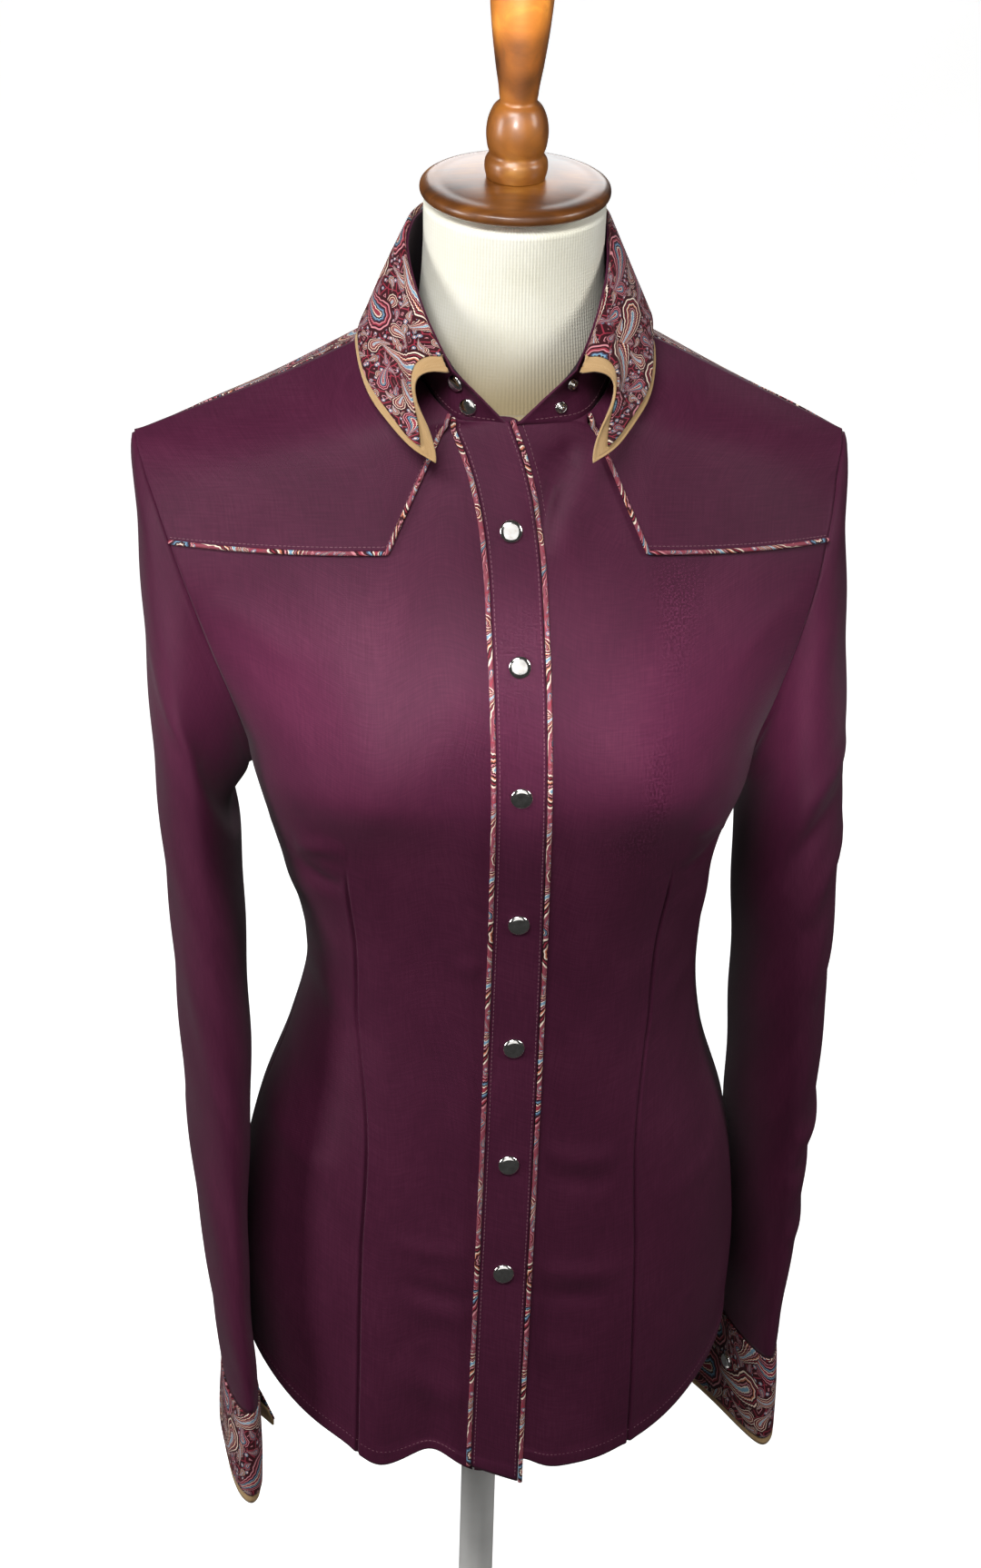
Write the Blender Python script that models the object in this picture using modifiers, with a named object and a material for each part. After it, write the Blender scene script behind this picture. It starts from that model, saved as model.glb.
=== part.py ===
"""Western snap shirt on a limbless dress form.

Metres, +Z up. The wearer faces -Y, so the wearer's right is at -X. The origin is the centre of the
underside of the form's base. The shirt is cut from panels; each panel is a surface of two numbers,
s across the body and t up it, read from the short section tables below.
"""
import math

import bpy
import bmesh
import numpy as np
from mathutils import Vector

# ---------------------------------------------------------------- driving dimensions
CLOTH = 0.0012            # thickness of one layer of cloth
SEAM_GAP = 0.0003         # clearance between pieces that meet
LAYER_LIFT = 0.0023       # how far a layer's outside lies above the panel that carries it
FORM_INSET = 0.0050       # form's skin below the outside of the shirt
FORM_NECK_INSET = 0.0030  # extra depth near the neck, where the collar stand comes between
FORM_BOTTOM_Z = 0.425     # underside of the form's trunk at centre front
FORM_TOP_SHARE = 0.975    # t where the trunk's top closes, under the shoulder seams
FORM_COLUMNS = 18
FORM_SIDE = 0.985         # s where the form's front and back end, short of the side seams
CAP_CENTRE_Z = 1.120      # height of the neck cap's upper face
CAP_RADIUS = 0.0520
CAP_TILT = math.radians(5)        # the cap and finial lean forward
NECK_RADIUS = 0.0497
FINIAL_HEIGHT = 0.136
POLE_RADIUS = 0.011
BASE_RADIUS = 0.140
BASE_THICKNESS = 0.010
PLACKET_HALF_WIDTH = 0.0142
UNDERLAP = 0.012          # how far the left front reaches under the placket
PIPING_RADIUS = 0.0014
SNAP_RADIUS = 0.00625
STAND_SNAP_RADIUS = 0.0048
STAND_SNAP_LIFT = 0.0023
STUD_RADIUS = 0.0034
CUFF_SNAP_RADIUS = 0.0050
EDGE_SHOW = 0.0042        # how far the tan edges show past the paisley

# One row for each section of the front half, hem to shoulder seam. The columns:
# in_x, in_y, in_z, out_x, out_y, out_z, turn, square, fall, lean
# in_: centre front, then neckline. out_: side seam, then armhole. turn: degrees that the section
# turns by its outer end. square: superellipse power of the section. fall: power of its drop in
# height from in to out; under 1 it drops at once, over 1 it drops late. lean: how far both outer
# ends sit towards the wearer's left.
FRONT_SECTIONS = (
    (0.000, -0.1180, 0.354, 0.1520, 0.004, 0.404, 90, 2.1, 3.0, 0.000),     # hem
    (0.000, -0.1135, 0.470, 0.1525, 0.004, 0.485, 90, 2.2, 2.0, 0.000),     # hip
    (0.000, -0.1105, 0.545, 0.1415, 0.004, 0.550, 90, 2.2, 2.0, 0.002),
    (0.000, -0.1085, 0.600, 0.1245, 0.003, 0.602, 90, 2.2, 2.0, 0.003),
    (0.000, -0.1070, 0.650, 0.1165, 0.002, 0.650, 90, 2.2, 2.0, 0.005),     # waist
    (0.000, -0.1085, 0.700, 0.1205, 0.000, 0.698, 90, 2.3, 2.0, 0.0025),
    (0.000, -0.1130, 0.755, 0.1305, -0.002, 0.742, 90, 2.5, 2.0, -0.001),
    (0.000, -0.1180, 0.812, 0.1425, -0.006, 0.782, 86, 2.7, 2.0, 0.000),    # bust, armhole foot
    (0.000, -0.1165, 0.860, 0.1495, -0.044, 0.824, 66, 2.5, 1.8, -0.001),
    (0.000, -0.1085, 0.900, 0.1640, -0.057, 0.872, 58, 2.3, 1.6, -0.003),
    (0.000, -0.0955, 0.942, 0.1760, -0.054, 0.910, 50, 2.1, 1.4, -0.005),
    (0.000, -0.0810, 0.980, 0.1840, -0.042, 0.936, 45, 2.0, 1.4, -0.007),
    (0.000, -0.0700, 1.009, 0.1885, -0.031, 0.9495, 42, 2.0, 1.3, -0.008),  # pit of the neck
    (0.034, -0.0655, 1.0105, 0.1920, -0.020, 0.9590, 38, 2.0, 1.15, -0.009),
    (0.052, -0.0430, 1.024, 0.1960, -0.007, 0.9695, 30, 2.0, 1.05, -0.009),
    (0.064, 0.0040, 1.040, 0.1990, 0.009, 0.9760, 20, 2.0, 1.0, -0.009),     # shoulder seam
)
BACK_SECTIONS = (
    (0.000, 0.1080, 0.366, 0.1520, 0.004, 0.404, 90, 2.1, 2.0, 0.000),
    (0.000, 0.1120, 0.470, 0.1525, 0.004, 0.485, 90, 2.2, 2.0, 0.000),
    (0.000, 0.1010, 0.545, 0.1415, 0.004, 0.550, 90, 2.2, 2.0, 0.002),
    (0.000, 0.0870, 0.600, 0.1245, 0.003, 0.602, 90, 2.2, 2.0, 0.003),
    (0.000, 0.0790, 0.650, 0.1165, 0.002, 0.650, 90, 2.2, 2.0, 0.005),
    (0.000, 0.0800, 0.700, 0.1205, 0.000, 0.698, 90, 2.2, 2.0, 0.0025),
    (0.000, 0.0870, 0.755, 0.1305, -0.002, 0.742, 90, 2.3, 2.0, -0.001),
    (0.000, 0.0945, 0.812, 0.1425, -0.006, 0.782, 86, 2.3, 2.0, 0.000),
    (0.000, 0.0985, 0.860, 0.1490, 0.030, 0.818, 66, 2.2, 1.8, -0.001),
    (0.000, 0.0990, 0.905, 0.1625, 0.049, 0.862, 58, 2.1, 1.6, -0.003),
    (0.000, 0.0950, 0.950, 0.1740, 0.054, 0.904, 50, 2.0, 1.4, -0.005),
    (0.000, 0.0870, 0.992, 0.1830, 0.048, 0.935, 45, 2.0, 1.1, -0.007),
    (0.000, 0.0600, 1.048, 0.1890, 0.039, 0.9510, 40, 2.0, 0.85, -0.008),    # back of the neck
    (0.022, 0.0560, 1.048, 0.1925, 0.031, 0.9600, 36, 2.0, 0.85, -0.009),
    (0.050, 0.0370, 1.045, 0.1965, 0.021, 0.9690, 30, 2.0, 0.90, -0.009),
    (0.064, 0.0040, 1.040, 0.1990, 0.009, 0.9760, 20, 2.0, 1.0, -0.009),
)

# One row for each ring of a sleeve, top to cuff seam. The columns:
# x, y, z, thick, wide, tilt, twist
# thick is half the ring across the flattened sleeve, wide is half of it front to back, tilt is
# how far its outer side stands above its middle, twist turns its front fold towards the body,
# in degrees.
SLEEVE_RINGS = {
    "right": (
        (0.1815, -0.002, 0.845, 0.0260, 0.064, 0.085, 0),
        (0.1765, -0.005, 0.790, 0.0265, 0.066, 0.055, 0),
        (0.1735, -0.010, 0.730, 0.0250, 0.066, 0.030, 2),
        (0.1695, -0.018, 0.660, 0.0220, 0.064, 0.012, 5),
        (0.1665, -0.027, 0.600, 0.0190, 0.061, 0.000, 8),
        (0.1650, -0.037, 0.530, 0.0155, 0.056, 0.000, 9),
        (0.1615, -0.047, 0.470, 0.0125, 0.051, 0.000, 8),
        (0.1535, -0.058, 0.404, 0.0090, 0.046, 0.000, 8),
    ),
    "left": (
        (0.1685, 0.004, 0.845, 0.0245, 0.064, 0.085, 0),
        (0.1710, 0.005, 0.790, 0.0280, 0.066, 0.055, 0),
        (0.1730, 0.008, 0.730, 0.0300, 0.066, 0.030, 0),
        (0.1755, 0.012, 0.660, 0.0280, 0.064, 0.012, -4),
        (0.1760, 0.016, 0.600, 0.0250, 0.061, 0.000, -7),
        (0.1760, 0.020, 0.530, 0.0210, 0.056, 0.000, -10),
        (0.1745, 0.024, 0.460, 0.0170, 0.051, 0.000, -13),
        (0.1690, 0.028, 0.374, 0.0130, 0.047, 0.000, -17),
    ),
}
CUFF_TOP_RISE = {"right": -0.012, "left": 0.026}    # climb of a cuff's seam, front fold to back
CUFF_EDGE_RISE = {"right": 0.014, "left": 0.046}    # climb of a cuff's lower edge
CUFF_POINT_BLUNT = 0.090  # rounds the point on the front fold, as a share of half the girth
CUFF_SEAM_GAP = 0.0012    # sleeve's end above the cuff
CUFF_FOLD_DROP = 0.014    # the seam on the front fold lies this far below the last ring
CUFF_DEPTH = 0.060        # cuff's height on its pointed front fold
CUFF_END_FULLNESS = {"right": 0.35, "left": 0.45}    # how much blunter its folds are below
CUFF_END_TURN = 0.06      # radians between the cuff's two ends
CUFF_EDGE_INSET = CLOTH + 0.0021
CUFF_SNAP_LIFT = 0.0026   # underside of the cuff's snap above the cloth's outside
CUFF_LOOSE_END = {"right": -1, "left": 1}       # 1: the end before the slit, -1: past it
CUFF_FLARE = {"right": 0.015, "left": 0.016}    # how far a cuff's loose end stands open
CUFF_FLARE_TURN = math.radians(70)              # the flare starts this far before the end
CUFF_SLIT_TURN = {"right": 202, "left": 180}    # where the cuff's ends meet, degrees from outside
CUFF_SNAP_TURN = {"right": -136, "left": 158}    # where its snap sits

# Collar curves, wearer's left half, centre back first: x, y, z at each share of the half length.
COLLAR_SHARES = (0.0, 0.25, 0.50, 0.66, 0.82, 0.92, 1.0)
NECKLINE_CURVE = ((0.000, 0.0570, 1.0450), (0.0425, 0.0395, 1.0430), (0.0598, 0.0040, 1.0372),
                  (0.0528, -0.0310, 1.0250), (0.0345, -0.0622, 1.0078), (0.0190, -0.0650, 1.0070),
                  (0.0030, -0.0655, 1.0072))
ROLL_CURVE = ((0.000, 0.0590, 1.0980), (0.0405, 0.0375, 1.0980), (0.0545, 0.0000, 1.0945),
              (0.0535, -0.0260, 1.0790), (0.0455, -0.0510, 1.0585), (0.0390, -0.0660, 1.0475),
              (0.0335, -0.0755, 1.0385))
LEAF_EDGE_CURVE = ((0.000, 0.0840, 1.0420), (0.0600, 0.0580, 1.0380), (0.0810, -0.0080, 1.0350),
                   (0.0765, -0.0500, 1.0190), (0.0620, -0.0760, 1.0050), (0.0520, -0.0870, 0.9985),
                   (0.0405, -0.0925, 0.9930))
LEAF_STANDOFF = 0.0022    # the leaf's outside stands this far out of the stand at the roll
LEAF_FRONT_STANDOFF = 0.0025      # and this much further at its front ends
LEAF_ROUND_UP = 0.0018    # and this far up
FLANGE_INSET = CLOTH + 0.0017     # the tan under-collar lies this far inside the leaf's outside
FLANGE_THICKNESS = 0.0010
COLLAR_SHIFT = -0.0043    # the open front of the collar sits towards the wearer's right
LEAF_BULGE = 0.0005       # how far the leaf stands out between its roll and its edge
LEAF_FRONT_BOW = 0.015    # how far the leaf's front edge bows away from the centre
LEAF_FRONT_START = 0.76   # share of the half length where a leaf's front end begins
LEAF_BOW_HIGH = 0.47      # below 1 the bow is widest above the leaf's middle
LEAF_BOW_FULL = 1.5       # above 1 the bow is narrower
LEAF_FRONT_SHOW = 0.055   # tan band along the leaf's front, as a share of its half length
LEAF_EDGE_SHOW = 0.075    # tan border along the leaf's outer edge, as a share of its height

# Rings of the form's neck, bottom to top: z, half width, depth in front, depth behind.
NECK_RINGS = ((0.950, 0.058, 0.056, 0.048), (1.000, 0.058, 0.058, 0.048),
              (1.030, 0.055, 0.054, 0.049), (1.055, 0.0515, 0.0515, 0.050),
              (1.080, NECK_RADIUS, NECK_RADIUS, NECK_RADIUS),
              (1.108, NECK_RADIUS, NECK_RADIUS, NECK_RADIUS))

# Heights of the placket's snaps, chest to hem.
SNAP_HEIGHTS = (0.954, 0.884, 0.809, 0.7265, 0.6445, 0.5680, 0.4950)
# The placket leans to the wearer's right where the neck falls open: height and shift.
PLACKET_LEAN = ((0.30, -0.0010), (0.90, -0.0010), (0.941, -0.0035), (0.962, -0.0062),
                (0.978, -0.0095), (0.992, -0.0135), (1.010, -0.0200))
PLACKET_TOP_Z = 1.0085     # height of the placket's top, at the foot of the collar stand
YOKE_ARMHOLE_Z = 0.930    # yoke line where it meets the armhole
YOKE_CORNER = (0.0695, 0.9400)    # x and z of the yoke's corner
YOKE_NECK = (0.0385, 1.0080)      # x and z where the yoke line meets the neck
YOKE_ARMHOLE_X = 0.1805
BACK_YOKE_SHARE = 0.72    # share of the back's height where the paisley yoke starts
SIDE_END = 0.9970         # s of a panel's side edge, just short of the side seam
SEAM_HALF_SHARE = 0.0005  # half of a level seam's gap, as a share of a panel's height
PIPING_CLEARANCE = 0.0006

# ---------------------------------------------------------------- tidy start
for old in list(bpy.data.objects):
    bpy.data.objects.remove(old, do_unlink=True)
parts = bpy.data.collections.new("western_snap_shirt")
bpy.context.scene.collection.children.link(parts)
cutters = bpy.data.collections.new("western_snap_shirt_cutters")
bpy.context.scene.collection.children.link(cutters)


def material(name, colour, roughness, metallic=0.0):
    """A Principled material of one colour (linear RGB)."""
    made = bpy.data.materials.new(name)
    made.use_nodes = True
    shader = made.node_tree.nodes["Principled BSDF"]
    shader.inputs["Base Color"].default_value = (*colour, 1.0)
    shader.inputs["Roughness"].default_value = roughness
    shader.inputs["Metallic"].default_value = metallic
    return made


PLUM = material("plum_cloth", (0.075, 0.022, 0.045), 0.7)
PAISLEY = material("paisley_cloth", (0.22, 0.06, 0.08), 0.65)
TAN = material("tan_cloth", (0.42, 0.28, 0.13), 0.75)
NICKEL = material("nickel", (0.75, 0.74, 0.72), 0.15, 1.0)
JERSEY = material("cream_jersey", (0.86, 0.83, 0.72), 0.9)
WOOD = material("stained_wood", (0.22, 0.08, 0.025), 0.4)
WHITE_STEEL = material("white_steel", (0.85, 0.85, 0.84), 0.45)


# ---------------------------------------------------------------- curves through rows
def through(knots, values, where, steady=None):
    """Smooth curve through rows: cubic pieces whose slopes are the rows' mean slopes.

    At the row `steady` the curve keeps the direction it arrives with.
    """
    knots = np.asarray(knots, float)
    values = np.asarray(values, float)
    where = np.clip(np.asarray(where, float), knots[0], knots[-1])
    slopes = np.gradient(values, knots, axis=0)
    if steady is not None:
        slopes[steady] = (values[steady] - values[steady - 1]) / (knots[steady] - knots[steady - 1])
    i = np.clip(np.searchsorted(knots, where, "right") - 1, 0, len(knots) - 2)
    step = knots[i + 1] - knots[i]
    u = (where - knots[i]) / step
    if values.ndim > 1:
        step, u = step[..., None], u[..., None]
    return ((2 * u**3 - 3 * u**2 + 1) * values[i] + (u**3 - 2 * u**2 + u) * step * slopes[i]
            + (3 * u**2 - 2 * u**3) * values[i + 1] + (u**3 - u**2) * step * slopes[i + 1])


def row_shares(table):
    """Each row's share of the panel's height, by the mean length of its inner and outer edges."""
    rows = np.asarray(table, float)
    inner = np.linalg.norm(np.diff(rows[:, 0:3], axis=0), axis=1)
    outer = np.linalg.norm(np.diff(rows[:, 3:6], axis=0), axis=1)
    along = np.concatenate(([0.0], np.cumsum((inner + outer) / 2)))
    return along / along[-1]


ROW_SHARES = row_shares(FRONT_SECTIONS)
ARMHOLE_FOOT = 7          # index of the row at the foot of the armhole
NECK_ROW = 12             # index of the row where the centre line ends and the neckline starts


def body_point(table, s, t):
    """Point of a body panel: s from -1 (wearer's right) to 1, t from hem (0) to shoulder (1).

    The section runs from in to out along a superellipse of power `square` that has turned by
    `turn` degrees at its outer end; its height runs from in_z to out_z by the power `fall`.
    """
    s, t = np.broadcast_arrays(np.asarray(s, float), np.asarray(t, float))
    row = through(ROW_SHARES, table, t)
    in_x, in_y, in_z, _, _, _, turn, square, fall, lean = np.moveaxis(row, -1, 0)
    in_x = np.where(t <= ROW_SHARES[NECK_ROW], 0.0, np.maximum(in_x, 0.0))
    outer = through(ROW_SHARES, [columns[3:6] for columns in table], t, steady=ARMHOLE_FOOT)
    out_x, out_y, out_z = np.moveaxis(outer, -1, 0)
    turn = np.radians(np.minimum(turn, 90))

    def unit(angle):
        sine, cosine = np.abs(np.sin(angle)), np.abs(np.cos(angle))
        reach = (sine**square + cosine**square)**(-1 / square)
        return reach * sine, reach * cosine

    across, ahead = unit(np.abs(s) * turn)
    across_end, ahead_end = unit(turn)
    share = across / across_end
    x = in_x + (out_x - in_x) * share
    y = in_y + (out_y - in_y) * (1 - ahead) / (1 - ahead_end)
    z = in_z + (out_z - in_z) * share**fall
    return np.stack([np.where(s < 0, -x, x) + lean * share**2, y, z], axis=-1)


BUST_X = 0.090            # each side of the middle
BUST_Z = 0.806
BUST_HEIGHT = 0.011       # how far the bust stands out of the sections
BUST_HALF_WIDTH = 0.055
BUST_RISE = 0.065         # how far it fades upward
BUST_FALL = 0.027         # and downward


def front_point(s, t):
    """The fronts' sections with a soft bell on each side of the bust."""
    place = body_point(FRONT_SECTIONS, s, t)
    over = place[..., 2] - BUST_Z
    beside = (np.abs(place[..., 0]) - BUST_X) / BUST_HALF_WIDTH
    reach = np.where(over > 0, BUST_RISE, BUST_FALL)
    place[..., 1] -= BUST_HEIGHT * np.exp(-beside**2 - (over / reach)**2)
    return place


def back_point(s, t):
    return body_point(BACK_SECTIONS, s, t)


def trunk_front_point(s, t):
    """The sections without the bell: the form's trunk is flatter than the cloth over its bust."""
    return body_point(FRONT_SECTIONS, s, t)


def outward(surface, s, t, facing):
    """Unit normals of a surface, turned to the side of `facing` (+1 or -1)."""
    step = 1e-3
    side = np.where(s < 0, -1.0, 1.0)
    outer, inner = side * np.minimum(np.abs(s) + step, 1), side * np.maximum(np.abs(s) - step, 0)
    along_s = (surface(outer, t) - surface(inner, t)) * side[..., None]
    along_t = surface(s, np.minimum(t + step, 1)) - surface(s, np.maximum(t - step, 0))
    normal = np.cross(along_s, along_t) * facing
    return normal / np.linalg.norm(normal, axis=-1, keepdims=True)


def lifted(surface, s, t, lift, facing):
    """Points of a surface moved out along its normals."""
    s, t = np.broadcast_arrays(np.asarray(s, float), np.asarray(t, float))
    return surface(s, t) + outward(surface, s, t, facing) * np.asarray(lift)[..., None]


def front_lifted(s, t, lift=0.0):
    return lifted(front_point, s, t, lift, 1)


def back_lifted(s, t, lift=0.0):
    return lifted(back_point, s, t, lift, -1)


def solve(function, low, high):
    """Root of a rising function between two arrays, by halving."""
    low, high = np.array(low, float), np.array(high, float)
    for _ in range(40):
        middle = (low + high) / 2
        below = function(middle) < 0
        low, high = np.where(below, middle, low), np.where(below, high, middle)
    return (low + high) / 2


def front_across(x, t):
    """s of the front point whose x is given."""
    x = np.asarray(x, float)
    side = np.where(x < 0, -1.0, 1.0)
    return side * solve(lambda reach: side * (front_point(side * reach, t)[..., 0] - x),
                        np.zeros_like(t), np.ones_like(t))


# ---------------------------------------------------------------- objects
def add(name, mesh, finish, smooth=True):
    """An object of a mesh with its own material, in the part's collection."""
    body = bpy.data.objects.new(name, mesh)
    mesh.materials.append(finish)
    if smooth:
        mesh.shade_smooth()
        mesh.set_sharp_from_angle(angle=math.radians(40))
    parts.objects.link(body)
    return body


def grid_mesh(name, points, wrap=False):
    """Mesh of a grid of points; its faces look to the side that columns x rows gives."""
    rows, columns = points.shape[:2]
    index = np.arange(rows * columns).reshape(rows, columns)
    right = np.roll(index, -1, axis=1) if wrap else index[:, 1:]
    left = index if wrap else index[:, :-1]
    quads = np.stack([left[:-1], right[:-1], right[1:], left[1:]], axis=-1).reshape(-1, 4)
    mesh = bpy.data.meshes.new(name)
    mesh.from_pydata(points.reshape(-1, 3).tolist(), [], quads.tolist())
    mesh.update()
    return mesh


def cloth(name, points, finish, thickness=CLOTH, wrap=False):
    """A panel from a grid of points on its outside."""
    return cloth_mesh(name, grid_mesh(name, points, wrap), finish, thickness)


def cloth_mesh(name, mesh, finish, thickness=CLOTH):
    """A panel: the mesh is its outside, and Solidify gives the cloth its thickness inwards."""
    body = add(name, mesh, finish)
    shell = body.modifiers.new("thickness", "SOLIDIFY")
    shell.thickness = thickness
    shell.offset = -1
    return body


def tube(name, points, radius, finish):
    """A piping cord: a round bevelled curve along points."""
    curve = bpy.data.curves.new(name, "CURVE")
    curve.dimensions = "3D"
    curve.bevel_depth = radius
    curve.bevel_resolution = 2
    curve.use_fill_caps = True
    spline = curve.splines.new("POLY")
    spline.points.add(len(points) - 1)
    for knot, place in zip(spline.points, points):
        knot.co = (*place, 1.0)
    curve.materials.append(finish)
    body = bpy.data.objects.new(name, curve)
    parts.objects.link(body)
    return body


def turned(name, profile, steps, finish, place=(0, 0, 0), axis=(0, 0, 1)):
    """A turned solid: (radius, height) points, top to bottom, swept about an axis at a place."""
    mesh = bpy.data.meshes.new(name)
    mesh.from_pydata([(r, 0.0, z) for r, z in profile], [(i, i + 1) for i in range(len(profile) - 1)], [])
    body = add(name, mesh, finish, smooth=False)
    body.location = place
    body.rotation_euler = Vector(axis).to_track_quat("Z", "Y").to_euler()
    sweep = body.modifiers.new("turn", "SCREW")
    sweep.steps = steps
    sweep.render_steps = steps
    sweep.use_merge_vertices = True
    sweep.merge_threshold = 0.00001
    sweep.use_smooth_shade = True
    return body


# ---------------------------------------------------------------- fronts, yokes and back
def placket_centre(z):
    """x of the placket's middle at a height."""
    heights, shifts = zip(*PLACKET_LEAN)
    return through(heights, shifts, z)


def placket_s(x_offset, t):
    """s on the front at a distance across from the placket's middle."""
    height = front_point(np.zeros_like(t), t)[..., 2]
    return front_across(placket_centre(height) + x_offset, t)


def placket_top(x_offset):
    """t of the placket's level top edge at a distance across from its middle."""
    return solve(lambda t: front_point(placket_s(x_offset, t), t)[..., 2] - PLACKET_TOP_Z,
                 np.full_like(x_offset, 0.5), np.full_like(x_offset, 0.97))


def front_edge_s(side, t, t_neck):
    """s of a front's inner edge: under the placket, then joining the neckline by t_neck."""
    reach = -UNDERLAP if side > 0 else -UNDERLAP - 0.0012
    turn_off = ROW_SHARES[NECK_ROW] - 0.006
    under = placket_s(np.full_like(t, reach), np.minimum(t, turn_off))
    share = np.clip((t - turn_off) / (t_neck - turn_off), 0, 1)
    return under + (side * 0.004 - under) * share


def shoulder_share(s):
    """t of a panel's shoulder edge: it stops short of the seam, more so at the sleeve."""
    return 0.9975 - 0.0045 * np.abs(s)**2


def crossing(s_of_t, start, end, low, high):
    """t where a column crosses the line from start to end, each (x, z) on the wearer's left."""
    slope = (end[1] - start[1]) / (end[0] - start[0])

    def above(t):
        place = front_point(s_of_t(t), t)
        return place[..., 2] - start[1] - slope * (np.abs(place[..., 0]) - start[0])

    return solve(above, low, high)


def yoke_share(s_of_t, count):
    """t of the yoke line on columns: the lower of its level part and its slanted part."""
    low, high = np.full(count, 0.5), np.full(count, 1.0)
    level = crossing(s_of_t, YOKE_CORNER, (YOKE_ARMHOLE_X, YOKE_ARMHOLE_Z), low, high)
    slant = crossing(s_of_t, YOKE_CORNER, YOKE_NECK, low, high)
    return np.maximum(level, slant)


def yoke_line(count_out, count_in):
    """The yoke line on the wearer's left as (s, t): armhole, corner, neck."""
    fine = np.linspace(1.0, 0.0, 801)
    share = yoke_share(lambda t: fine, len(fine))
    x = front_point(fine, share)[..., 0]
    corner_s = np.interp(YOKE_CORNER[0], x[::-1], fine[::-1])
    s = np.concatenate([np.linspace(SIDE_END, corner_s, count_out),
                        np.linspace(corner_s, 0.004, count_in)[1:]])
    return s, yoke_share(lambda t: s, len(s))


def front_panel(side, s_line, t_line):
    """A front from hem to yoke line, with a column at each point of the yoke line."""
    t_neck = ROW_SHARES[NECK_ROW] if side > 0 else t_line[-1]
    edge = front_edge_s(side, t_line, t_neck)
    share = (side * s_line - edge) / (side * SIDE_END - edge)
    rise = np.concatenate([np.linspace(0, 0.62, 12)[:-1], np.linspace(0.62, 1, 9)])[:, None]
    t = rise * (t_line - SEAM_HALF_SHARE)[None, :]
    edge = front_edge_s(side, t, t_neck)
    points = front_lifted(edge + (side * SIDE_END - edge) * share, t)
    return points[:, ::-1] if side > 0 else points


def build_body():
    s_line, t_line = yoke_line(9, 6)
    for name, side in (("front_right", -1), ("front_left", 1)):
        cloth(name, front_panel(side, s_line, t_line), PLUM)
    rise = np.linspace(0, 1, 7)[:, None]
    start, end = t_line + SEAM_HALF_SHARE, shoulder_share(s_line)
    t = start[None, :] + (end - start)[None, :] * rise
    s = np.broadcast_to(s_line[None, :], t.shape)
    for name, side in (("front_yoke_right", -1), ("front_yoke_left", 1)):
        points = front_lifted(side * s, t)
        cloth(name, points if side < 0 else points[:, ::-1], PLUM)

    s = np.linspace(-SIDE_END, SIDE_END, 21)[None, ::-1]
    t = np.concatenate([np.linspace(0.0, 0.56, 10)[:-1],
                        np.linspace(0.56, BACK_YOKE_SHARE - SEAM_HALF_SHARE, 4)])[:, None]
    cloth("back", back_lifted(*np.broadcast_arrays(s, t)), PLUM)
    cloth_mesh("back_yoke", back_yoke_mesh(), PAISLEY)


def back_yoke_mesh():
    """The back yoke: two halves welded on the centre line, open along the neckline."""
    neck = ROW_SHARES[NECK_ROW]
    reach = np.linspace(0, SIDE_END, 11)[None, :]
    low = np.linspace(BACK_YOKE_SHARE + SEAM_HALF_SHARE, neck, 5)[:-1]
    up = np.linspace(0, 1, 5)
    t = np.concatenate([np.broadcast_to(low[:, None], (len(low), reach.shape[1])),
                        neck + (shoulder_share(reach) - neck) * up[:, None]])
    s = np.broadcast_to(reach, t.shape)
    left, right = back_lifted(s, t), back_lifted(-np.maximum(s, 1e-9), t)
    work = bmesh.new()
    for half in (left[:, ::-1], right):
        work.from_mesh(grid_mesh("back_yoke_half", half))
    bmesh.ops.remove_doubles(work, verts=work.verts, dist=0.00002)
    mesh = bpy.data.meshes.new("back_yoke")
    work.to_mesh(mesh)
    work.free()
    return mesh


# ---------------------------------------------------------------- placket and piping
def build_placket():
    rise = np.linspace(0.0, 1.0, 25)
    x = np.linspace(-PLACKET_HALF_WIDTH, PLACKET_HALF_WIDTH, 4)
    t = rise[:, None] * placket_top(x)[None, :]
    x = np.broadcast_to(x, t.shape)
    cloth("placket", front_lifted(placket_s(x, t), t, LAYER_LIFT), PLUM)
    lift = PIPING_RADIUS + PIPING_CLEARANCE
    for name, side in (("placket_piping_right", -1), ("placket_piping_left", 1)):
        offset = np.full_like(rise, side * (PLACKET_HALF_WIDTH + PIPING_RADIUS + SEAM_GAP))
        t = rise * placket_top(offset)
        tube(name, front_lifted(placket_s(offset, t), t, lift), PIPING_RADIUS, PAISLEY)
    s, t = (line[:-1] for line in yoke_line(9, 6))
    s = np.minimum(s, SIDE_END - 0.012)
    for name, side in (("yoke_piping_right", -1), ("yoke_piping_left", 1)):
        tube(name, front_lifted(side * s, t, lift), PIPING_RADIUS, PAISLEY)


# ---------------------------------------------------------------- sleeves and cuffs
def armhole_loop(side, alpha):
    """Points of an armhole, as on the wearer's left; alpha is 0 at the shoulder, pi/2 in front."""
    away = 1 if side == "left" else -1
    front = [(row[3] + away * row[9], *row[4:6]) for row in FRONT_SECTIONS[:ARMHOLE_FOOT - 1:-1]]
    back = [(row[3] + away * row[9], *row[4:6]) for row in BACK_SECTIONS[ARMHOLE_FOOT + 1:]]
    loop = np.array(front + back)
    length = np.concatenate(([0.0], np.cumsum(np.linalg.norm(np.diff(loop, axis=0), axis=1))))
    half = length[len(front) - 1]
    turn = np.where(length <= half, math.pi * length / half,
                    math.pi * (1 + (length - half) / (length[-1] - half)))
    return through(turn, loop, alpha)


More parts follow.
